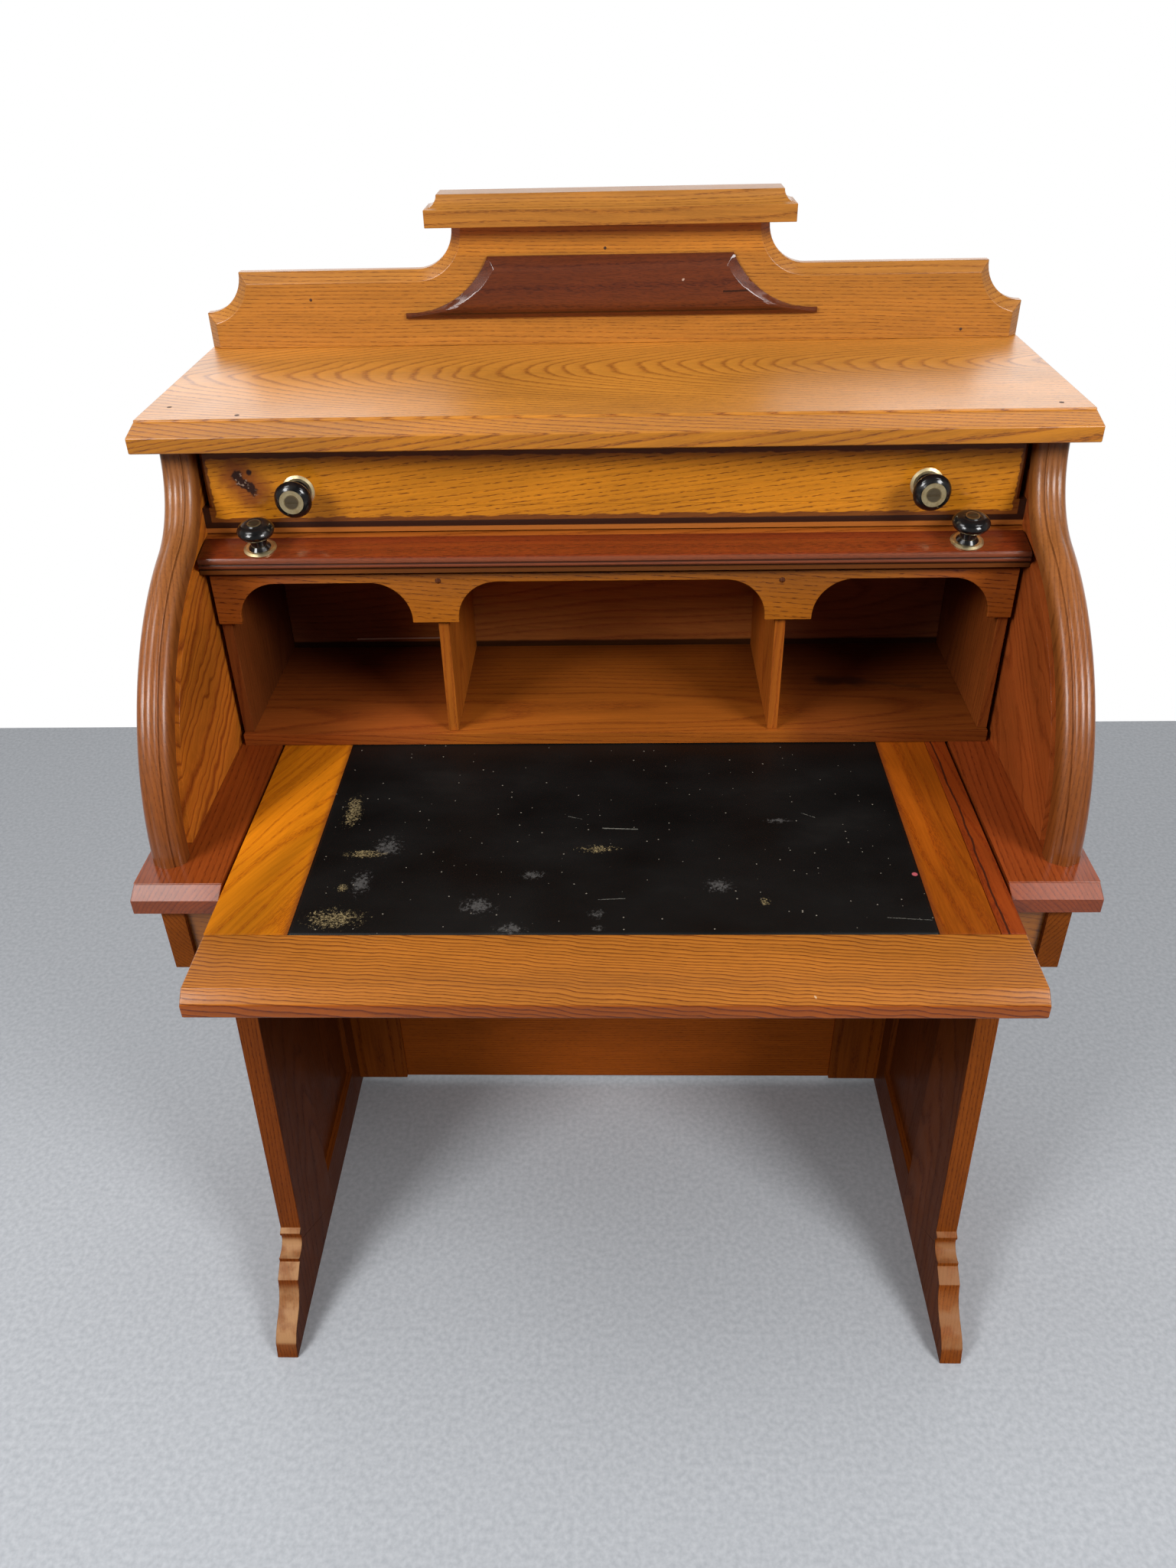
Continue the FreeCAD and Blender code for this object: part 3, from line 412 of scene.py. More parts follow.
# %% [markdown]
# The bed, the mouldings, the right case side, the lip and the tablet are browner or redder.
# The stand and the pigeonholes had little varnish, and the boards out of sight had none.
# So these looks are the same recipe again, with less gloss and darker colours.

# %% Looks of the darker wood
BROWN = look((0.40, 0.108, 0.014), (0.31, 0.075, 0.009), (0.10, 0.020, 0.005), 0.0036, 0.016, 0.12, 0.5,
             gleam=1.45)
BEADED = look((0.36, 0.112, 0.020), (0.30, 0.088, 0.015), (0.12, 0.032, 0.008), 0.0036, 0.016, 0.12, 0.4,
              satin=0.30, gleam=1.46)
PLUME = look((0.47, 0.122, 0.018), (0.36, 0.084, 0.012), (0.14, 0.030, 0.006), 0.0100, 0.070, 0.10, 0.3,
             ripple=0.008, cloud=0.18, gleam=1.36)
MAHOGANY = look((0.20, 0.036, 0.008), (0.165, 0.028, 0.007), (0.06, 0.012, 0.005), 0.0120, 0.020, 0.50, 0.6,
                rough=0.36, satin=0.16, gleam=1.45)
DULL = look((0.40, 0.108, 0.010), (0.31, 0.075, 0.007), (0.10, 0.020, 0.004), 0.0036, 0.016, 0.12, 0.6,
            rough=0.55, coat=0.2, satin=0.3, gleam=1.33)
INNER = look((0.34, 0.100, 0.012), (0.28, 0.072, 0.009), (0.12, 0.026, 0.006), 0.0050, 0.020, 0.15, 0.35,
             rough=0.5, coat=0.3, satin=0.35, gleam=1.33)
PLAIN = look((0.46, 0.240, 0.085), (0.36, 0.165, 0.050), (0.20, 0.080, 0.025), 0.0042, 0.020, 0.20, 0.4,
             rough=0.62, coat=0.0, satin=0.5)
print("coat on bed, stand, inside and back:", [kind["coat"] for kind in (BROWN, DULL, INNER, PLAIN)])

# %% [markdown]
# Years of use left scratches, chips, a knot or two and toes rubbed pale, and some places also get painted
# light or shade.
# They could be cut into the wood, but most are only skin deep.
# So each is laid over the oak by its distance from a short line drawn in the desk's own measures.
# A little noise shakes that distance, because no mark in wood has a clean rim.

# %% Ways to lay a mark
MARKS = {}
SCRATCH_SHAKE = (500, 0.0012)
SCRATCH_RIM = (1.6, 0.6)


def ragged_place(f, fineness, amount):
    return shaken(f, f.place, mono(fineness), 3, amount)


def from_line(f, place, start, end):
    run = Vector(end) - Vector(start)
    out = f.vector("SUBTRACT", place, start)
    share = f.vector("DOT_PRODUCT", out, run / run.length_squared)
    share = f.math("MAXIMUM", f.math("MINIMUM", share, 1.0), 0.0)
    back = f.put("VectorMath", {"operation": "SCALE"}, Scale=share)
    f.fill(back, 0, run)
    return f.vector("LENGTH", f.vector("SUBTRACT", out, back.outputs[0]))


def from_level(f, value, level):
    return f.math("ABSOLUTE", f.math("SUBTRACT", value, level))


def scratch(f, wood, start, end, colour, width):
    gap = from_line(f, ragged_place(f, *SCRATCH_SHAKE), start, end)
    line = f.spread(gap, width * SCRATCH_RIM[0], width * SCRATCH_RIM[1], 0.0, 0.8)
    return f.mix(line, wood, colour)


def middle(node):
    low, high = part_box(node)
    return (low + high) / 2


print("middle of the top:", [round(v, 3) for v in middle("top_board")])

# %% [markdown]
# The top's front faces get painted shade, and the splashback gets painted light above its dark tablet, under
# the cap.
# The tablet has a drying crack, a chip, and a seam near its foot.
# The seam could be a groove in the solid, but it is so thin that a dark line at its height does as well.

# %% Marks on the top and the splashback
FRONT_FACE_SHADE, NECK_LIGHT = (0.84, 0.76, 0.40), (1.28, 1.26, 1.1)
CRACK, SEAM, CHIPPED = (0.012, 0.005, 0.003), (0.022, 0.007, 0.004), (0.60, 0.42, 0.32)
CRACK_WIDTH = 0.0009
TABLET_SEAM = 0.0045


# Painted shade: faces turned to the front are darkened.
def shaded_front_face(f, wood):
    return f.stain(f.spread(f.facing("Y"), -0.12, -0.22), wood, FRONT_FACE_SHADE)


# Painted light: the band above the tablet is lifted, which cancels the shadow of the cap.
def lit_neck(f, wood):
    height = f.along(ragged_place(f, 40, 0.004), "Z")
    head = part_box("splashback_tablet")[1].z
    return f.stain(f.spread(height, head - 0.004, head + 0.004), wood, NECK_LIGHT)


def cracked_tablet(f, wood):
    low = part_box("splashback_tablet")[0]
    wood = scratch(f, wood, (0.1142, low.y, 1.0577), (0.160, low.y, 1.0590), CRACK, CRACK_WIDTH)
    seam = from_level(f, f.along(f.place, "Z"), low.z + TABLET_SEAM)
    seam = f.spread(seam, 0.0014, 0.0005, 0.0, 0.75)
    flat = f.spread(f.math("ABSOLUTE", f.along(f.place, "X")), 0.185, 0.165)
    wood = f.mix(f.math("MULTIPLY", seam, flat), wood, SEAM)
    return scratch(f, wood, (0.0728, low.y, 1.0694), (0.0734, low.y, 1.0698), CHIPPED, CRACK_WIDTH)


MARKS.update(top_board=shaded_front_face, splashback=lit_neck, splashback_tablet=cracked_tablet)
print("marked so far:", ", ".join(MARKS))

# %% [markdown]
# The curved mouldings get a painted sheen near the top and painted shade lower down.
# A short pale scratch crosses the inner face of the left case side.
# They could be painted by hand, but height alone is enough to place the painted sheen and shade.

# %% Marks on the case sides
LOWER_SHADE, HEAD_SHEEN = (0.84, 0.78, 0.74), (1.08, 1.28, 1.6)
MOULDING_FOOT, MOULDING_WAIST, MOULDING_HEAD = 0.70, 0.82, 0.94


def scratched_side(f, wood):
    return scratch(f, wood, (-0.3785, -0.108, 0.784), (-0.3785, -0.104, 0.796), (0.66, 0.50, 0.36), 0.0007)


# Painted shade on the lower part and painted sheen on the upper part, both set by height.
def moulding_sheen_and_shade(f, wood):
    height = f.along(f.place, "Z")
    wood = f.stain(f.spread(height, MOULDING_WAIST, MOULDING_FOOT), wood, LOWER_SHADE)
    return f.stain(f.spread(height, MOULDING_WAIST, MOULDING_HEAD), wood, HEAD_SHEEN)


MARKS.update(left_case_side=scratched_side)
MARKS.update(left_side_moulding=moulding_sheen_and_shade, right_side_moulding=moulding_sheen_and_shade)
# The part above the waist carries the painted sheen.
print("rubbed part of a moulding in m:", round(MOULDING_HEAD - MOULDING_WAIST, 2))

# %% [markdown]
# The roll's lip is dark red, with a painted sheen on its beads and painted shade in the quirks between them.
# The beads are real shapes in the solid, and only colour is laid on here: the sheen, a paler foot and the
# shade, each at its height.
# Towards its ends the lip runs into the shade of the case, and that shade is painted darker too.

# %% Reeded lip of the roll
LIP_QUIRKS = (0.8832, 0.8786)
LIP_BEADS = 0.8882
LIP_RIM = 0.0004
LIP_SHADE = 0.016
BEAD_SHEEN, LIP_FOOT = (0.19, 0.07, 0.035), (0.20, 0.068, 0.015)
QUIRK_SHADE, END_SHADE = (0.016, 0.006, 0.004), (0.35, 0.35, 0.4)


def reeded_lip(f, wood):
    height = f.along(f.place, "Z")
    front = f.spread(f.along(f.place, "Y"), 0.034, 0.031)
    # Painted sheen on the beads.
    beads = f.spread(height, LIP_BEADS + LIP_RIM, LIP_BEADS - LIP_RIM, 0.0, 0.45)
    wood = f.mix(f.math("MULTIPLY", front, beads), wood, BEAD_SHEEN)
    foot = f.spread(height, LIP_QUIRKS[1] + LIP_RIM, LIP_QUIRKS[1] - LIP_RIM, 0.0, 0.75)
    wood = f.mix(f.math("MULTIPLY", front, foot), wood, LIP_FOOT)
    # Painted shade in the quirks.
    for quirk in LIP_QUIRKS:
        line = f.spread(from_level(f, height, quirk), 0.0012, 0.0004, 0.0, 0.85)
        wood = f.mix(f.math("MULTIPLY", front, line), wood, QUIRK_SHADE)
    # Painted shade towards the ends of the lip.
    side = f.math("ABSOLUTE", f.along(ragged_place(f, 90, 0.008), "X"))
    lip_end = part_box("roll_lip")[1].x
    return f.stain(f.spread(side, lip_end - LIP_SHADE, lip_end), wood, END_SHADE)


MARKS.update(roll_lip=reeded_lip)
print("quirks of the lip:", len(LIP_QUIRKS))

# %% [markdown]
# The pigeonholes get painted shade: their wood darkens towards the back and the outer ends, and so does the
# valance at its ends.
# Less light would darken the whole hole, so the shade is painted as a stain that grows with depth and with
# width.
# It follows the desk's own measures, so it stays put whatever moves in front of it.

# %% Unwiped corners of the pigeonholes
VALANCE_SHADE, HOLE_SHADE = (0.88, 0.72, 1.1), (0.36, 0.32, 0.42)


def cornered(f):
    return ragged_place(f, 60, 0.016)


def shaded_ends(f, wood):
    # Painted shade at both ends of the valance.
    side = f.math("ABSOLUTE", f.along(ragged_place(f, 60, 0.01), "X"))
    return f.stain(f.spread(side, 0.25, 0.31), wood, VALANCE_SHADE)


def painted_hole_shade(f, wood):
    # Painted shade towards the back and the outer ends of a hole.
    place = cornered(f)
    outer = f.spread(f.math("ABSOLUTE", f.along(place, "X")), 0.10, 0.17, 0.35, 1.0)
    shaded_depth = f.math("MULTIPLY", f.spread(f.along(place, "Y"), 0.055, 0.19), outer)
    return f.stain(f.math("MULTIPLY", shaded_depth, 0.85), wood, HOLE_SHADE)


MARKS.update(pigeonhole_valance=shaded_ends)
MARKS.update(left_pigeonhole_side=painted_hole_shade, right_pigeonhole_side=painted_hole_shade)
# The painted shade keeps this much of the colour.
print("grime keeps this much of the colour:", HOLE_SHADE)

# %% [markdown]
# The pigeonhole floor has a dark knot on the right, and painted shade makes it darker in the outer holes than
# in the middle one.
# At the foot of the back board a dark gap is painted as shadow, with a painted line of light in it, as
# through a chink.
# Each is a line or a level in the board's own measures, mixed over the oak in the order of its depth.

# %% Floor and back of the pigeonholes
HOLE_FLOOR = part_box("pigeonhole_floor")[1].z
KNOT_LINE = [(0.225, 0.143, 0.6945), (0.262, 0.140, 0.6945), (0.325, 0.128, 0.6945)]
KNOT_DARK, KNOT_TRAIL = (0.035, 0.010, 0.005), (0.06, 0.016, 0.006)
PAINTED_CHINK_LIGHT, FOOT_GAP_SHADOW = (0.60, 0.42, 0.34), (0.012, 0.005, 0.003)


def knotted_shaded_floor(f, wood):
    place = cornered(f)
    across = f.along(place, "X")
    wood = painted_hole_shade(f, wood)
    # Painted shade in the outer holes.
    wood = f.stain(f.spread(across, 0.16, 0.20), wood, (0.62, 0.56, 0.8))
    wood = f.stain(f.spread(across, -0.14, -0.20), wood, (0.84, 0.74, 1.1))
    knot = from_line(f, place, KNOT_LINE[0], KNOT_LINE[1])
    wood = f.mix(f.spread(knot, 0.014, 0.002, 0.0, 0.85), wood, KNOT_DARK)
    trail = from_line(f, place, KNOT_LINE[1], KNOT_LINE[2])
    return f.mix(f.spread(trail, 0.006, 0.001, 0.0, 0.6), wood, KNOT_TRAIL)


def shaded_back_foot(f, wood):
    across = f.along(cornered(f), "X")
    # Painted shade at the outer ends of the back.
    wood = f.stain(f.spread(across, 0.155, 0.185), wood, (0.56, 0.52, 0.8))
    wood = f.stain(f.spread(across, -0.20, -0.26), wood, (0.46, 0.42, 0.7))
    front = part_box("pigeonhole_back")[0].y
    # A painted line of light along the foot.
    painted_chink = from_line(f, f.place, (-0.29, front, HOLE_FLOOR + 0.0105), (-0.17, front, HOLE_FLOOR + 0.0115))
    wood = f.mix(f.spread(painted_chink, 0.0011, 0.0006, 0.0, 0.85), wood, PAINTED_CHINK_LIGHT)
    # Painted shadow at the foot, like a dark gap.
    height = f.along(ragged_place(f, 40, 0.002), "Z")
    gap = f.spread(height, HOLE_FLOOR + 0.009, HOLE_FLOOR + 0.006, 0.0, 0.9)
    return f.mix(gap, wood, FOOT_GAP_SHADOW)


MARKS.update(pigeonhole_floor=knotted_shaded_floor, pigeonhole_back=shaded_back_foot)
print("height of the pigeonhole floor:", round(HOLE_FLOOR, 4))

# %% [markdown]
# The slide's front rail gets painted shade on its upright edge, and its top is scratched in three places.
# The strip on the right has split along the grain, and dye from the hide has crept into the stiles.
# Which way a face looks is known to the shader, so that shade follows the rail's edge with no painting by
# hand.

# %% Marks on the slide
RAIL_EDGE = 0.6765
HIDE_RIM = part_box("slide_leather")[1].x
STRIP_SPLIT = middle("slide_edge_strip").x - 0.004
RAIL_EDGE_SHADE = (0.84, 0.52, 0.18)
SPLIT_DARK, DYE = (0.03, 0.009, 0.005), (0.12, 0.026, 0.007)
RAIL_SCRATCHES = [
    ((0.150, -0.306), (0.158, -0.322), (0.62, 0.42, 0.24), 0.0006),
    ((0.171, -0.318), (0.186, -0.321), (0.55, 0.36, 0.20), 0.0004),
    ((-0.300, -0.290), (-0.292, -0.296), (0.60, 0.38, 0.18), 0.0004),
]


def scratched_shaded_rail(f, wood):
    # Painted shade on the faces turned to the front.
    wood = f.stain(f.spread(f.facing("Y"), -0.8, -0.95, 0.0, 0.9), wood, RAIL_EDGE_SHADE)
    for start, end, colour, width in RAIL_SCRATCHES:
        wood = scratch(f, wood, (*start, RAIL_EDGE), (*end, RAIL_EDGE), colour, width)
    return wood


def split_strip(f, wood):
    line = from_level(f, f.along(ragged_place(f, 26, 0.006), "X"), STRIP_SPLIT)
    return f.mix(f.spread(line, 0.0014, 0.0004, 0.0, 0.9), wood, SPLIT_DARK)


def stained_rim(f, wood):
    across = f.math("ABSOLUTE", f.along(ragged_place(f, 120, 0.003), "X"))
    return f.mix(f.spread(across, HIDE_RIM + 0.006, HIDE_RIM, 0.0, 0.65), wood, DYE)


MARKS.update(slide_front_rail=scratched_shaded_rail, slide_edge_strip=split_strip)
MARKS.update(left_slide_stile=stained_rim, right_slide_stile=stained_rim)
print("scratches on the rail:", len(RAIL_SCRATCHES))

# %% [markdown]
# Shoes wore the toes of the legs down to pale wood, and knocked a chip out of the right one.
# The faces in the kneehole get painted shade, so they are darker than the outer ones.
# A face that looks towards the middle of the desk is told by its direction times its place.

# %% Marks on the stand
KNEEHOLE_SHADE = (0.50, 0.48, 0.6)
BARE_TOE, BROWN_TOE, FRESH_CHIP = (0.45, 0.24, 0.11), (0.32, 0.145, 0.06), (0.55, 0.36, 0.18)
CHIP_LINE = ((0.390, -0.142, 0.062), (0.392, -0.1395, 0.0657))


def shaded_kneehole_side(f, wood):
    # Painted shade on faces turned towards the kneehole.
    inward = f.math("MULTIPLY", f.facing("X"), f.along(f.place, "X"))
    return f.stain(f.spread(inward, -0.1, -0.3), wood, KNEEHOLE_SHADE)


def worn_foot(f, wood, bare=BARE_TOE):
    wood = shaded_kneehole_side(f, wood)
    toe = f.spread(f.along(f.place, "Z"), 0.30, 0.22)
    rubbed = f.math("MULTIPLY", f.spread(f.facing("Z"), 0.15, 0.6), toe)
    patchy = f.spread(f.cloud(f.place, mono(45), 4), 0.35, 0.6, 0.35, 0.9)
    wood = f.mix(f.math("MULTIPLY", rubbed, patchy), wood, bare)
    chip = from_line(f, ragged_place(f, 220, 0.010), *CHIP_LINE)
    return f.mix(f.spread(chip, 0.006, 0.004, 0.0, 0.85), wood, FRESH_CHIP)


def browner_foot(f, wood):
    return worn_foot(f, wood, BROWN_TOE)


MARKS.update(left_front_leg=worn_foot, right_front_leg=browner_foot)
for hand in ("left", "right"):
    for piece in ("rear_stile", "end_rail", "end_panel"):
        MARKS[hand + "_" + piece] = shaded_kneehole_side
print("pieces with marks:", len(MARKS))

# %% [markdown]
# Each board was cut from its own place in a log, so each gets its own heart, given from the board's middle.
# A table is shorter than fifty recipes, and shows at a glance which way the grain of a piece runs.
# A row holds the look, the way of the grain, the heart, the lean of the log in degrees, and the stain.
# Boards that come in pairs with one stain are listed once, and the right one gets the mirrored heart.

# %% Boards of the case and the roll
BOARDS = {
    "top_board": (TABLE, "x", (0.28, 0.03, -0.07), (0, -9.5, 0.5), (0.92, 0.99, 1.1)),
    "splashback": (GOLDEN, "x", (0.0, 0.05, -0.3), (0, 0.6, 1.0), (0.72, 0.76, 1.1)),
    "crest_cap": (GOLDEN, "x", (0.0, 0.12, 0.04), (0, 1.5, 1.5), (0.74, 0.80, 1.2)),
    "splashback_tablet": (MAHOGANY, "x", (0.0, 0.15, 0.1), (0, 1.0, 2.0), (0.58, 0.74, 0.98)),
    "left_case_side": (SWEPT, "z", (0.05, -0.10, -0.16), (0, 63, 90), (0.98, 0.82, 0.8)),
    "right_case_side": (PLUME, "z", (0.04, -0.06, -0.08), (0, 52, 90), (0.78, 0.67, 0.88)),
    "roll_panel": (BROWN, "x", (0.0, 0.05, -0.3), (0, 2.0, 1.0), (1, 1, 1)),
    "roll_lip": (MAHOGANY, "x", (0.0, 0.2, 0.15), (0, 1.0, 0.8), (1.0, 0.92, 0.85)),
    "front_apron": (GOLDEN, "x", (0.0, 0.05, -0.03), (0, 3.0, 6.0), (0.7, 0.62, 0.6)),
    "left_bed_board": (BROWN, "y", (0.1, 0.0, -0.1), (0, 0, 2), (0.58, 0.42, 0.5)),
    "right_bed_board": (BROWN, "y", (-0.1, 0.0, -0.1), (0, 0, -2), (0.60, 0.42, 0.6)),
    "rear_bed_board": (BROWN, "x", (0.0, 0.1, -0.1), (0, 1, 0), (0.9, 0.9, 0.9)),
}
PAIRS = {
    "side_moulding": (BEADED, "z", (0.6, 0.1, 0.0), (0, 0, 0), (0.72, 0.68, 0.72)),
    "apron": (DULL, "y", (0.08, 0.0, 0.05), (0, 2, 0), (0.7, 0.65, 0.7)),
}
print("boards of the case and the roll:", len(BOARDS) + 2 * len(PAIRS))

# %% [markdown]
# Two framed ends and a framed back carry the case, and the grain of each piece runs along its length.
# They had less varnish than the case, so they all share one dull look, and their dark stains also hold
# painted shade.

# %% Boards of the stand
BOARDS |= {
    "left_front_leg": (DULL, "z", (0.5, 0.1, 0.0), (0, 2, 2), (0.50, 0.42, 0.55)),
    "right_front_leg": (DULL, "z", (-0.5, 0.1, 0.0), (0, -2, 2), (0.70, 0.62, 0.7)),
    "left_end_panel": (DULL, "z", (0.06, 0.02, 0.0), (2, 2, 0), (0.52, 0.44, 0.6)),
    "right_end_panel": (DULL, "z", (-0.06, -0.02, 0.0), (2, 2, 0), (0.52, 0.44, 0.6)),
    "modesty_panel": (DULL, "x", (0.2, 0.08, 0.1), (0, 1, 2), (1.0, 0.85, 0.8)),
}
PAIRS |= {
    "rear_stile": (DULL, "z", (0.1, 0.08, 0.0), (0, 2, 0), (0.52, 0.44, 0.6)),
    "end_rail": (DULL, "y", (0.1, 0.0, 0.06), (0, 2, 0), (0.52, 0.44, 0.6)),
    "modesty_stile": (DULL, "z", (0.0, 0.1, 0.0), (0, 1, 2), (0.7, 0.6, 0.6)),
}
print("boards with those of the stand:", len(BOARDS) + 2 * len(PAIRS))

# %% [markdown]
# The slide is the showiest wood: a wavy rail in front, and amber stiles whose rings sweep across them.
# The pigeonholes behind it are plain and thinly varnished, each board with a stain of its own.

# %% Boards of the slide and the pigeonholes
BOARDS |= {
    "slide_front_rail": (WAVY, "x", (-0.1, 0.16, 0.14), (0, 2.0, -4.0), (0.575, 0.555, 0.80)),
    "left_slide_stile": (AMBER, "y", (0.12, 0.0, -0.06), (0, 3, -24), (0.84, 0.80, 0.6)),
    "right_slide_stile": (AMBER, "y", (-0.15, 0.0, -0.12), (0, 1, 4), (0.50, 0.35, 0.5)),
    "slide_edge_strip": (AMBER, "y", (-0.1, 0.0, -0.05), (0, 2, 3), (0.38, 0.20, 0.7)),
    "pigeonhole_valance": (DASHED, "x", (0.3, 0.04, 0.16), (0, 5.0, 1.0), (0.54, 0.46, 0.5)),
    "pigeonhole_floor": (INNER, "x", (0.1, -0.05, -0.09), (0, 1.6, 1.5), (1.0, 0.92, 0.85)),
    # The left side's darker stain is painted shade.
    "left_pigeonhole_side": (INNER, "z", (0.08, 0.05, 0.0), (3, 4, 0), (0.52, 0.46, 0.8)),
    "right_pigeonhole_side": (INNER, "z", (-0.08, 0.05, 0.0), (3, 4, 0), (0.70, 0.60, 0.9)),
    "left_pigeonhole_divider": (INNER, "z", (0.08, -0.04, 0.0), (3, 3, 0), (1.15, 1.1, 1.0)),
    "right_pigeonhole_divider": (INNER, "z", (-0.08, -0.04, 0.0), (3, 3, 0), (1.15, 1.05, 1.0)),
    "pigeonhole_top": (INNER, "x", (0.0, 0.1, 0.1), (0, 1, 1), (0.8, 0.8, 0.8)),
    "pigeonhole_back": (INNER, "x", (0.1, 0.12, 0.03), (0, 2, 3), (1.35, 1.5, 2.8)),
    "pigeonhole_back_slope": (INNER, "x", (0.1, 0.12, 0.03), (0, 2, 3), (0.8, 0.8, 0.8)),
}
print("boards with those of the slide and the pigeonholes:", len(BOARDS) + 2 * len(PAIRS))

# %% [markdown]
# Boards that nobody sees were left bare: the back, the runners, the drawer's box and the slide's core.
# They show once the drawer is pulled out or the desk is turned round, so they get real wood as well.

# %% Boards out of sight
BOARDS |= {
    "upper_back_panel": (PLAIN, "x", (0.0, 0.08, 0.05), (0, 1, 2), (0.75, 0.65, 0.6)),
    "rear_apron": (PLAIN, "x", (0.0, 0.08, 0.05), (0, 1, 2), (0.75, 0.65, 0.6)),
    "slide_back_rail": (PLAIN, "x", (0.0, 0.1, -0.1), (0, 1, 1), (1, 1, 1)),
    "slide_core": (PLAIN, "x", (0.0, 0.1, -0.1), (0, 1, 1), (1, 1, 1)),
    "slide_runners": (PLAIN, "y", (0.0, 0.0, -0.1), (0, 1, 1), (0.8, 0.75, 0.7)),
    "drawer_runners": (PLAIN, "y", (0.0, 0.0, 0.1), (0, 1, 0), (0.9, 0.85, 0.8)),
    "drawer_back": (PLAIN, "x", (0.0, 0.1, 0.05), (0, 1, 1), (1, 1, 1)),
    "drawer_bottom": (PLAIN, "x", (0.0, 0.0, -0.1), (0, 1, 1), (1.1, 1.1, 1.1)),
}
PAIRS |= {
    "drawer_side": (PLAIN, "y", (0.1, 0.0, 0.05), (0, 1, 1), (1.05, 1.05, 1.05)),
}


def finish_node(node, material):
    mesh = desk[node].data
    mesh.materials.clear()
    mesh.materials.append(material)


for piece, (kind, along, heart, lean, stain) in PAIRS.items():
    for hand, turn in (("left", 1), ("right", -1)):
        BOARDS[hand + "_" + piece] = (kind, along, (heart[0] * turn, heart[1], heart[2]), lean, stain)
for node, (kind, along, heart, lean, stain) in BOARDS.items():
    log_heart = middle(node) + Vector(heart)
    finish_node(node, oak(node + "_wood", kind, along, log_heart, lean, stain, MARKS.get(node)))
print("boards finished:", len(BOARDS))

# %% [markdown]
# A dark border runs round the drawer, with a painted highlight line inside it where a bevel would catch the
# light.
# It could be a separate strip, but here the border is old polish and painted shade together, the shade of the
# top included.
# So it is laid over the oak as masks that follow the front's own edges, a little shaky as a hand is.
# Below it come a painted shadow for a gap under the drawer and a painted highlight along the rail.

# %% Border of the drawer
HEAD_SHADE = 0.9680
SIDE_SHADE = 0.3665
DRAWER_FOOT = 0.9075
FOOT_SHADE = DRAWER_FOOT + 0.0042
RAIL_HEAD = DRAWER_FOOT - 0.0057
HIGHLIGHT_LINE = HEAD_SHADE - 0.0017
SOFT_RIM, SHARP_RIM = 0.0006, 0.0005
BEVEL_HIGHLIGHT, BORDER_POLISH_AND_SHADE = (0.70, 0.30, 0.045), (0.12, 0.028, 0.008)
GAP_SHADOW, RAIL_HIGHLIGHT = (0.02, 0.006, 0.004), (0.40, 0.125, 0.022)
drawer_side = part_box("drawer_front")[1].x


def drawer_border_shade(f, wood):
    side = f.math("ABSOLUTE", f.along(f.place, "X"))
    height = f.along(f.place, "Z")
    wobble = f.spread(f.cloud(f.place, (60, 60, 200), 2), 0.2, 0.8, -0.0012, 0.0012)
    shaky = f.math("ADD", height, wobble)
    edge = f.spread(f.math("ADD", side, wobble), SIDE_SHADE - SOFT_RIM, SIDE_SHADE + SOFT_RIM)
    head = f.spread(shaky, HEAD_SHADE - SOFT_RIM, HEAD_SHADE + SOFT_RIM)
    foot = f.spread(shaky, FOOT_SHADE + SOFT_RIM, FOOT_SHADE - SOFT_RIM)
    polish_and_shade = f.math("MAXIMUM", edge, f.math("MAXIMUM", head, foot))
    inside = f.spread(side, SIDE_SHADE, SIDE_SHADE - 0.001)
    bright = f.math("MULTIPLY", f.spread(shaky, HIGHLIGHT_LINE - SHARP_RIM, HIGHLIGHT_LINE + SHARP_RIM), inside)
    # Painted highlight along the top of the field.
    wood = f.mix(f.math("MULTIPLY", bright, 0.5), wood, BEVEL_HIGHLIGHT)
    # Dark border: old polish with painted shade.
    wood = f.mix(f.math("MULTIPLY", polish_and_shade, 0.86), wood, BORDER_POLISH_AND_SHADE)
    # Painted shadow for a gap under the drawer and beside it.
    gap = f.spread(height, DRAWER_FOOT + SHARP_RIM, DRAWER_FOOT - SHARP_RIM)
    gap = f.math("MAXIMUM", gap, f.spread(side, drawer_side - 0.0002, drawer_side + 0.0002))
    wood = f.mix(f.math("MULTIPLY", gap, 0.93), wood, GAP_SHADOW)
    # Painted highlight along the top of the rail.
    rail = f.spread(height, RAIL_HEAD + SHARP_RIM, RAIL_HEAD - SHARP_RIM)
    return f.mix(rail, wood, RAIL_HIGHLIGHT)


print("half width of the drawer:", round(drawer_side, 4))

# %% [markdown]
# Near the left end of the drawer sits a knot, dark red around a hollow crack with beads of resin in it.
# It could be cut as a hole, but it is shallow, so it is drawn from the distance to the crack and to its eye.
# The drawer front and the rail under it came from one plank, so they share one finish and the grain runs on.

# %% Drawer front and its knot
KNOT = ((-0.3405, 0.07, 0.9505), (-0.3290, 0.07, 0.9385))
KNOT_EYE = (-0.3288, 0.07, 0.9550)
KNOT_RED, KNOT_HOLLOW, RESIN = (0.20, 0.045, 0.010), (0.030, 0.010, 0.006), (0.36, 0.24, 0.17)
DRAWER_STAIN = (0.98, 0.98, 0.7)


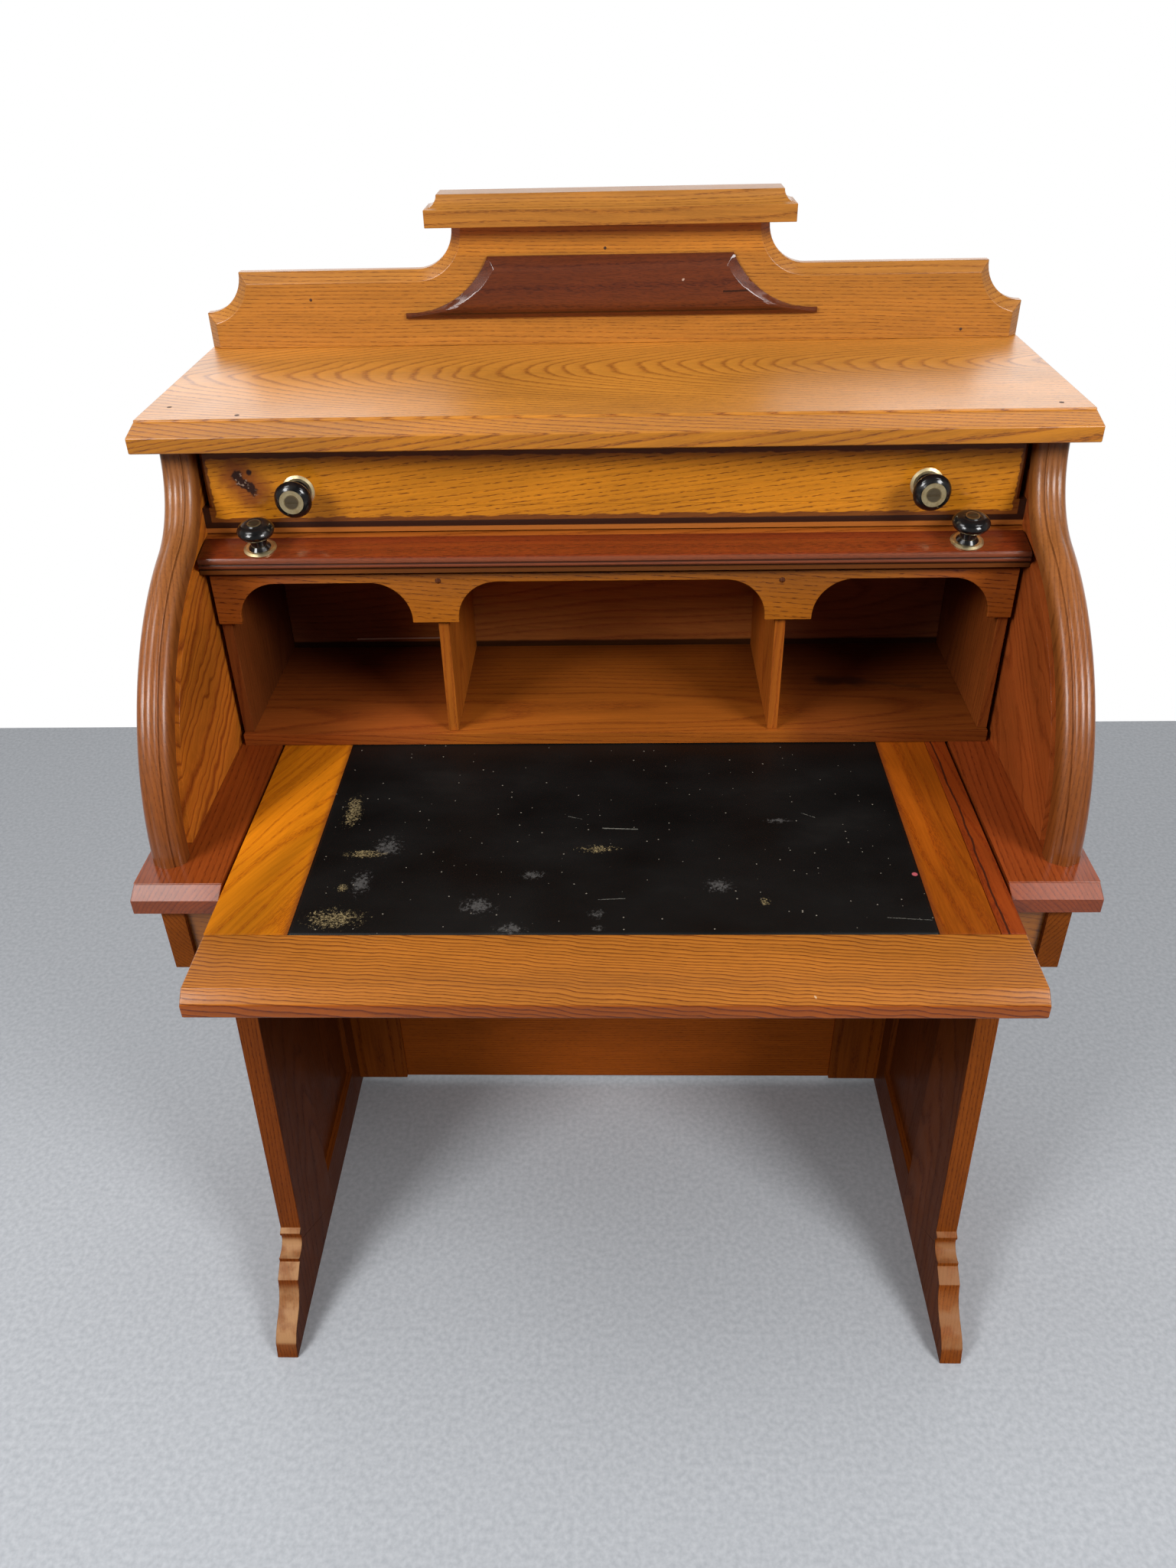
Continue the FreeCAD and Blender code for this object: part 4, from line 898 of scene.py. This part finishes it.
def drawer_knot(f, wood):
    gap = from_line(f, ragged_place(f, 120, 0.013), *KNOT)
    wood = f.mix(f.spread(gap, 0.026, 0.006, 0.0, 0.85), wood, KNOT_RED)
    eye = f.vector("LENGTH", f.vector("SUBTRACT", ragged_place(f, 160, 0.003), KNOT_EYE))
    hollow = f.math("MAXIMUM", f.spread(gap, 0.0064, 0.0034), f.spread(eye, 0.0034, 0.0018))
    wood = f.mix(hollow, wood, KNOT_HOLLOW)
    beads = f.spread(f.cloud(f.place, (260, 260, 420), 2), 0.60, 0.66)
    resin = f.math("MULTIPLY", beads, f.spread(gap, 0.0064, 0.004, 0.0, 0.75))
    return f.mix(resin, wood, RESIN)


def knot_and_border(f, wood):
    return drawer_knot(f, drawer_border_shade(f, wood))


plank_heart = middle("drawer_front") + Vector((0.0, 0.05, -0.22))
drawer_oak = oak("drawer_front_wood", DASHED, "x", plank_heart, (0, -6.5, 0), DRAWER_STAIN, knot_and_border)
finish_node("drawer_front", drawer_oak)
finish_node("drawer_rail", drawer_oak)
print("knot runs from", KNOT[0], "to", KNOT[1])

# %% [markdown]
# The writing surface is a black hide glued into a shallow bed, worn where hands and pots rubbed it.
# The wear could be one noise all over, but each scuff has its own place on the slide.
# So scuffs and rubs are listed as small ovals: the middle, then half the width and half the depth.

# %% Wear of the hide
SCUFFS = [(-0.242, -0.077, 0.006, 0.017), (-0.218, -0.143, 0.014, 0.004), (-0.229, -0.230, 0.016, 0.009),
          (-0.230, -0.190, 0.004, 0.004), (0.128, -0.209, 0.003, 0.004), (-0.012, -0.136, 0.012, 0.004)]
RUBS = [(-0.200, -0.132, 0.009, 0.011), (-0.082, -0.243, 0.009, 0.005), (-0.112, -0.214, 0.010, 0.008),
        (-0.012, -0.224, 0.0045, 0.0045), (0.091, -0.188, 0.008, 0.006), (-0.215, -0.184, 0.006, 0.012),
        (-0.010, -0.243, 0.004, 0.003), (0.151, -0.094, 0.008, 0.003), (-0.068, -0.173, 0.007, 0.004)]


def nearest(patches, x, y):
    return min(math.hypot((x - px) / rx, (y - py) / ry) - 1 for px, py, rx, ry in patches)


print("at the middle of the slide, distance to a scuff:", round(nearest(SCUFFS, 0.0, -0.16), 2))

# %% [markdown]
# A flat sheet would look printed, so the hide is a fine net of points with a slight cockle and sunken scuffs.
# A subdivided plane would do as well, but a net made row by row can carry its measures from the start.
# The distance to the nearest scuff and rub is kept on each point, for the finish to use in the next step.

# %% Writing leather
NET_STEP = 0.003
COCKLE = 0.00012
COCKLES_PER_METRE = 14
COCKLE_LAYER = 0.3
FLAT_RIM = 0.004
SCUFF_DEPTH = 0.0002
SKIN_SINK = 0.00022
FAR_FROM_WEAR = 9.0


def hide_height(low, high, x, y, scuff):
    edge = min(x - low.x, high.x - x, y - low.y, high.y - y)
    spot = Vector((x * COCKLES_PER_METRE, y * COCKLES_PER_METRE, COCKLE_LAYER))
    cockle = noise.noise(spot) * COCKLE
    sunk = SCUFF_DEPTH if scuff < 0 else 0
    return high.z - SKIN_SINK + (cockle if edge > FLAT_RIM else 0) - sunk


def hide_sheet(name, low, high):
    across = round((high.x - low.x) / NET_STEP)
    deep = round((high.y - low.y) / NET_STEP)
    row = across + 1
    points = []
    tan_wear = []
    grey_wear = []
    for j in range(deep + 1):
        for i in range(row):
            x = low.x + (high.x - low.x) * i / across
            y = low.y + (high.y - low.y) * j / deep
            scuff = nearest(SCUFFS, x, y)
            points.append((x, y, hide_height(low, high, x, y, scuff)))
            tan_wear.append(scuff)
            grey_wear.append(nearest(RUBS, x, y))
    faces = [(j * row + i, j * row + i + 1, (j + 1) * row + i + 1, (j + 1) * row + i)
             for j in range(deep) for i in range(across)]
    rim = list(range(row)) + [j * row + across for j in range(1, deep + 1)]
    rim += [deep * row + i for i in range(across - 1, -1, -1)] + [j * row for j in range(deep - 1, 0, -1)]
    base = len(points)
    for n, k in enumerate(rim):
        m = (n + 1) % len(rim)
        points.append((points[k][0], points[k][1], low.z))
        faces.append((rim[m], k, base + n, base + m))
    mesh = bpy.data.meshes.new(name)
    mesh.from_pydata(points, [], faces)
    for wear, gaps in (("tan_wear", tan_wear), ("grey_wear", grey_wear)):
        gaps += [FAR_FROM_WEAR] * len(rim)
        mesh.attributes.new(wear, "FLOAT", "POINT").data.foreach_set("value", gaps)
    mesh.shade_smooth()
    return bring_in(name, mesh)


leather_low, leather_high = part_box("slide_leather")
leather = hide_sheet("writing_leather", leather_low, leather_high)
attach(leather, "slide")
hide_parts("slide_leather")
print("points in the leather:", len(leather.data.vertices))

# %% [markdown]
# Where the black has flaked off, the tan underside shows, and lighter rubbing has only turned it grey.
# The finish reads the distances kept on the net and makes them ragged with noise.
# A painted edge would repeat, but this way no two patches have the same rim.

# %% Rubbed and flaked black
TANS = [(0.35, (0.07, 0.050, 0.022)), (0.65, (0.33, 0.255, 0.125))]
RUBBED_GREY = (0.12, 0.115, 0.11)


def kept_wear(f, wear, ragged):
    return f.math("ADD", f.put("Attribute", {"attribute_name": wear}).outputs["Fac"], ragged)


def rubbed_and_flaked(f, hide):
    ragged = f.spread(f.cloud(f.place, mono(330), 4, 0.75), 0.2, 0.8, -1.3, 1.3)
    grey = f.spread(kept_wear(f, "grey_wear", ragged), 0.3, -0.9, 0.0, 0.5)
    hide = f.mix(grey, hide, RUBBED_GREY)
    canvas = f.ramp(f.cloud(f.place, mono(900), 1), TANS)
    flaked = f.spread(f.cloud(f.place, mono(560), 3, 0.7), 0.42, 0.58, 0.1, 0.9)
    tan = f.spread(kept_wear(f, "tan_wear", ragged), 0.05, -0.15)
    return f.mix(f.math("MULTIPLY", tan, flaked), hide, canvas)


print("rubs and scuffs:", len(RUBS), len(SCUFFS))

# %% [markdown]
# The hide is flecked with specks of old paint, has one red spot, and is scratched in a few places.
# Modelled specks would be hundreds of tiny pieces.
# A pattern of cells gives one speck to a cell, and a chance drawn for each cell leaves most of them empty.

# %% Flecks and scratches
HIDE_SCRATCHES = [
    ((-0.0081, -0.1049), (0.0231, -0.1066), 0.0006),
    ((0.2258, -0.2297), (0.2615, -0.2329), 0.0003),
    ((-0.0109, -0.2062), (0.0114, -0.2049), 0.0003),
    ((-0.0401, -0.0864), (-0.0280, -0.0905), 0.0003),
    ((0.1740, -0.0822), (0.1858, -0.0895), 0.0003),
]
RED_SPOT = (0.2595, -0.173, leather_high.z)
FLECK, HIDE_SCRATCH, SPOT_RED = (0.34, 0.30, 0.24), (0.17, 0.165, 0.14), (0.50, 0.10, 0.12)
FLECK_SIZE = 0.065
FLECKS_PER_METRE = 95.0


def flecked(f, hide):
    flecks = f.put("TexVoronoi", {"voronoi_dimensions": "2D"}, Vector=f.place, Scale=FLECKS_PER_METRE)
    chance = f.put("SeparateColor", Color=flecks.outputs["Color"]).outputs[0]
    fleck = f.math("LESS_THAN", flecks.outputs["Distance"], f.spread(chance, 0.80, 1.0, 0.0, FLECK_SIZE))
    hide = f.mix(f.math("MULTIPLY", fleck, 0.6), hide, FLECK)
    for start, end, width in HIDE_SCRATCHES:
        hide = scratch(f, hide, (*start, leather_high.z), (*end, leather_high.z), HIDE_SCRATCH, width)
    spot = f.vector("LENGTH", f.vector("SUBTRACT", f.place, RED_SPOT))
    return f.mix(f.spread(spot, 0.0028, 0.0020, 0.0, 0.8), hide, SPOT_RED)


print("scratches in the hide:", len(HIDE_SCRATCHES))

# %% [markdown]
# Under all that the hide is black with a pebbled grain, dusty in patches.
# The pebbles could be real bumps on the net, but they are finer than its step.
# So the walls between the cells of a pattern are pressed in as bump, and dust makes the gloss uneven.

# %% Worn black hide
BLACKS = [(0.3, (0.0026, 0.0025, 0.0023)), (0.6, (0.0046, 0.0044, 0.0041)), (0.8, (0.010, 0.009, 0.008))]
PEBBLES_PER_METRE = 620.0
GRAIN_DEPTH = 0.00012


def worn_hide():
    f = Finish("worn_black_hide")
    pits = f.put("TexVoronoi", {"feature": "DISTANCE_TO_EDGE"}, Vector=f.place, Scale=PEBBLES_PER_METRE)
    pebble = f.spread(pits.outputs["Distance"], 0.0, 0.28)
    dust = f.cloud(f.place, (9, 14, 9), 4)
    hide = flecked(f, rubbed_and_flaked(f, f.ramp(dust, BLACKS)))
    f.fill(f.skin, "Base Color", hide)
    f.fill(f.skin, "Roughness", f.spread(dust, 0.25, 0.75, 0.36, 0.56))
    f.fill(f.skin, "Specular IOR Level", 0.22)
    f.bump(f.math("ADD", f.math("MULTIPLY", pebble, 0.5), dust), GRAIN_DEPTH, 0.5)
    return f.material


leather.data.materials.append(worn_hide())
print("finish of the leather:", leather.data.materials[0].name)

# %% [markdown]
# The handles of the knobs are turned and polished black, and fingers have worn the polish uneven.
# A plain black would lose their roundness, so a soft noise shifts both the colour and the gloss.
# A thin coat over it gives the small sharp lights of a polished knob.

# %% Black polish
POLISH_BLACKS = [(0.35, (0.004, 0.004, 0.0045)), (0.7, (0.014, 0.012, 0.011))]


def black_polish():
    f = Finish("black_knob_polish")
    wear = f.cloud(f.place, mono(110), 3)
    f.fill(f.skin, "Base Color", f.ramp(wear, POLISH_BLACKS))
    f.fill(f.skin, "Roughness", f.spread(wear, 0.3, 0.75, 0.12, 0.28))
    f.fill(f.skin, "Specular IOR Level", 0.3)
    f.fill(f.skin, "Coat Weight", 0.35)
    f.fill(f.skin, "Coat Roughness", 0.08)
    f.bump(f.cloud(f.place, mono(300), 2), 0.00008, 0.3)
    return f.material


knob_polish = black_polish()
print("polish of the knobs:", knob_polish.name)

# %% [markdown]
# Each knob stands on a brass rose and is held by a brass screw.
# Clean brass would look new, so the recipe mixes a brown bloom and fine rubbing over the bright metal.
# The screw sits in a brass ring of one piece with it, so a dark round is drawn where the screw's own head is.

# %% Brass and knobs
SCREW_HEADS = (("drawer", 0.0109, 0.0063), ("roll", 0.0062, 0.0052))
ROSE_BRIGHT, ROSE_BLOOM = (0.90, 0.76, 0.45), (0.58, 0.44, 0.22)
SCREW_BRIGHT, SCREW_BLOOM, SCREW_DARK = (0.74, 0.62, 0.36), (0.40, 0.30, 0.15), (0.10, 0.075, 0.05)
HEAD_RIM = 0.0004


def dulled_brass(name, bright, bloom, head=None, head_radius=0.0):
    f = Finish(name)
    stain = f.cloud(f.place, mono(140), 4, 0.6)
    metal = f.ramp(stain, [(0.35, bright), (0.72, bloom)])
    if head:
        reach = f.vector("LENGTH", f.vector("SUBTRACT", f.vector("ABSOLUTE", f.place), head))
        dark = f.spread(reach, head_radius + HEAD_RIM, head_radius - HEAD_RIM, 0.0, 0.85)
        metal = f.mix(dark, metal, SCREW_DARK)
    f.fill(f.skin, "Base Color", metal)
    f.fill(f.skin, "Metallic", 1.0)
    f.fill(f.skin, "Roughness", f.spread(stain, 0.3, 0.75, 0.32, 0.55))
    f.bump(f.cloud(f.place, (700, 700, 90), 2), 0.00006, 0.4)
    return f.material


rose_brass = dulled_brass("rose_brass", ROSE_BRIGHT, ROSE_BLOOM)
for row, ring, screw in SCREW_HEADS:
    low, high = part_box(row + "_knob_screws")
    head = (high.x - ring, abs(low.y + high.y) / 2, (low.z + high.z) / 2)
    screw_brass = dulled_brass(row + "_screw_brass", SCREW_BRIGHT, SCREW_BLOOM, head, screw)
    finish_node(row + "_knob_handles", knob_polish)
    finish_node(row + "_knob_rosettes", rose_brass)
    finish_node(row + "_knob_screws", screw_brass)
    print(row, "knobs stand", round(2 * head[0], 3), "m apart")

# %% [markdown]
# No worked edge on an old desk is sharp: hands and cloths have rounded it and rubbed the colour thin.
# A weld closes the seams of the packed mesh, and a narrow bevel then rounds only its real corners.
# The drawer front and its rail keep their meeting edges square, so the plank still looks like one.

# %% Softened edges
ARRIS = 0.0007
WELD_GAP = 0.00001
CORNER_ANGLE = math.radians(38)
SOFT = {"top_board": 0.0012, "slide_front_rail": 0.0014, "left_front_leg": 0.0012, "right_front_leg": 0.0012}
CRISP = ["drawer_front", "drawer_rail", "slide_leather"] + [node for node in desk if "_knob_" in node]
for node, piece in desk.items():
    if node in CRISP:
        continue
    weld = piece.modifiers.new("closed_seams", "WELD")
    weld.merge_threshold = WELD_GAP
    arris = piece.modifiers.new("soft_arris", "BEVEL")
    arris.width = SOFT.get(node, ARRIS)
    arris.segments = 2
    arris.limit_method = "ANGLE"
    arris.angle_limit = CORNER_ANGLE
    arris.use_clamp_overlap = True
    even = piece.modifiers.new("even_shine", "WEIGHTED_NORMAL")
    even.keep_sharp = False
print("softened pieces:", len(desk) - len(CRISP))

# %% [markdown]
# Pegs and stopped nail holes are the smallest pieces, three to six millimetres across.
# They could be painted on, but then they would be flat when seen from the side.
# Each is a tiny turning, made by spinning a profile of radius and height, so it looks right from any side.

# %% A small turning
SPIN_STEPS = 20


def spun(name, profile, centre, axis, material):
    mesh = bpy.data.meshes.new(name)
    shape = bmesh.new()
    hoops = []
    for radius, height in profile:
        angles = [2 * math.pi * k / SPIN_STEPS for k in range(SPIN_STEPS)]
        hoops.append([shape.verts.new((radius * math.cos(a), radius * math.sin(a), height)) for a in angles])
    for lower, upper in zip(hoops, hoops[1:]):
        for k in range(SPIN_STEPS):
            n = (k + 1) % SPIN_STEPS
            shape.faces.new((lower[k], lower[n], upper[n], upper[k]))
    shape.faces.new(hoops[-1])
    shape.faces.new(list(reversed(hoops[0])))
    shape.to_mesh(mesh)
    shape.free()
    mesh.shade_smooth()
    mesh.materials.append(material)
    piece = bring_in(name, mesh)
    piece.location = centre
    piece.rotation_euler = Vector(axis).to_track_quat("Z", "Y").to_euler()
    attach(piece, "case")


print("sides of a turning:", SPIN_STEPS)

# %% [markdown]
# Two wooden pegs hold the valance to the dividers, and they stand out a little from its face.
# Six old nail holes, three in the top and three in the splashback, were stopped with dark wax.
# A peg shows end grain, so it is cut from a log that runs front to back.

# %% Pegs and stopped nail holes
PEG = [(0.0028, -0.004), (0.0028, 0.00015), (0.0024, 0.0004), (0.0008, 0.0005)]
STOPPED = [(0.0022, -0.004), (0.0022, 0.00008), (0.0014, 0.00012), (0.0005, 0.0001)]
PINHOLE = [(0.0015, -0.004), (0.0015, 0.00006), (0.0010, 0.0001), (0.0004, 0.00008)]
TOWARDS_FRONT = (0, -1, 0)
UPWARDS = (0, 0, 1)
peg_wood = oak("peg_end_grain", BROWN, "y", (0, 0, 0), (0, 0, 0), (0.30, 0.28, 0.35))
wax = Finish("dark_wax")
wax_cloud = wax.cloud(wax.place, mono(900), 2)
wax_brown = wax.ramp(wax_cloud, [(0.3, (0.03, 0.01, 0.005)), (0.7, (0.07, 0.025, 0.01))])
wax.fill(wax.skin, "Base Color", wax_brown)
wax.fill(wax.skin, "Roughness", 0.55)

valance_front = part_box("pigeonhole_valance")[0].y
top_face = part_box("top_board")[1].z
splash_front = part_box("splashback")[0].y
pegs = [(x, valance_front, z) for x, z in ((-0.1605, 0.8608), (0.1580, 0.8585))]
top_stops = [(x, y, top_face) for x, y in ((-0.399, 0.097), (0.394, 0.075), (-0.33, 0.07))]
splash_stops = [(x, splash_front, z) for x, z in ((-0.307, 1.0540), (-0.005, 1.0985), (0.359, 1.0157))]
for k, centre in enumerate(pegs):
    spun(f"valance_peg_{k}", PEG, centre, TOWARDS_FRONT, peg_wood)
for k, centre in enumerate(top_stops):
    spun(f"top_nail_stop_{k}", STOPPED, centre, UPWARDS, wax.material)
for k, centre in enumerate(splash_stops):
    spun(f"splash_nail_stop_{k}", PINHOLE, centre, TOWARDS_FRONT, wax.material)
print("pegs and stops:", len(pegs + top_stops + splash_stops))

# %% [markdown]
# Old polish has gathered in the corner where each curved moulding meets the inner face of its case side.
# It reads as a thin dark line, so it is a real fillet of polish with three edges, bent round the roll's axis.
# Its depth wanders a little along the way, as a brush would leave it.

# %% Gathered polish
AXIS_Y, AXIS_Z = 0.088956, 0.670
CORNER_RADIUS = 0.2340
START_ANGLE, END_ANGLE = 3.2, 66.0
FILLET_STEPS = 90
FILLET_WIDTH = 0.0028
FILLET_DEPTH, DEPTH_WANDERS = 0.0020, 0.0008
WANDER_STEP = 0.31


def polish_fillet(name, face_x, inward):
    points = []
    faces = []
    for k in range(FILLET_STEPS + 1):
        angle = math.radians(START_ANGLE + (END_ANGLE - START_ANGLE) * k / FILLET_STEPS)
        outward = Vector((0, -math.cos(angle), math.sin(angle)))
        depth = FILLET_DEPTH + DEPTH_WANDERS * noise.noise(Vector((face_x, k * WANDER_STEP, 0.0)))
        for x, radius in ((0.0, CORNER_RADIUS), (FILLET_WIDTH, CORNER_RADIUS), (0.0, CORNER_RADIUS - depth)):
            points.append(Vector((face_x + inward * x, AXIS_Y, AXIS_Z)) + outward * radius)
    for k in range(0, FILLET_STEPS * 3, 3):
        for edge, after in ((0, 1), (1, 2), (2, 0)):
            faces.append((k + edge, k + after, k + 3 + after, k + 3 + edge))
    last = FILLET_STEPS * 3
    faces += [(2, 1, 0), (last, last + 1, last + 2)]
    mesh = bpy.data.meshes.new(name)
    mesh.from_pydata(points, [], faces)
    shape = bmesh.new()
    shape.from_mesh(mesh)
    bmesh.ops.recalc_face_normals(shape, faces=shape.faces)
    shape.to_mesh(mesh)
    shape.free()
    mesh.materials.append(wax.material)
    fillet = bring_in(name, mesh)
    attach(fillet, "case")


inner_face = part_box("right_case_side")[0].x
polish_fillet("left_polish_line", -inner_face, 1)
polish_fillet("right_polish_line", inner_face, -1)
print("polish lines lie", round(2 * inner_face, 3), "m apart")

# %% [markdown]
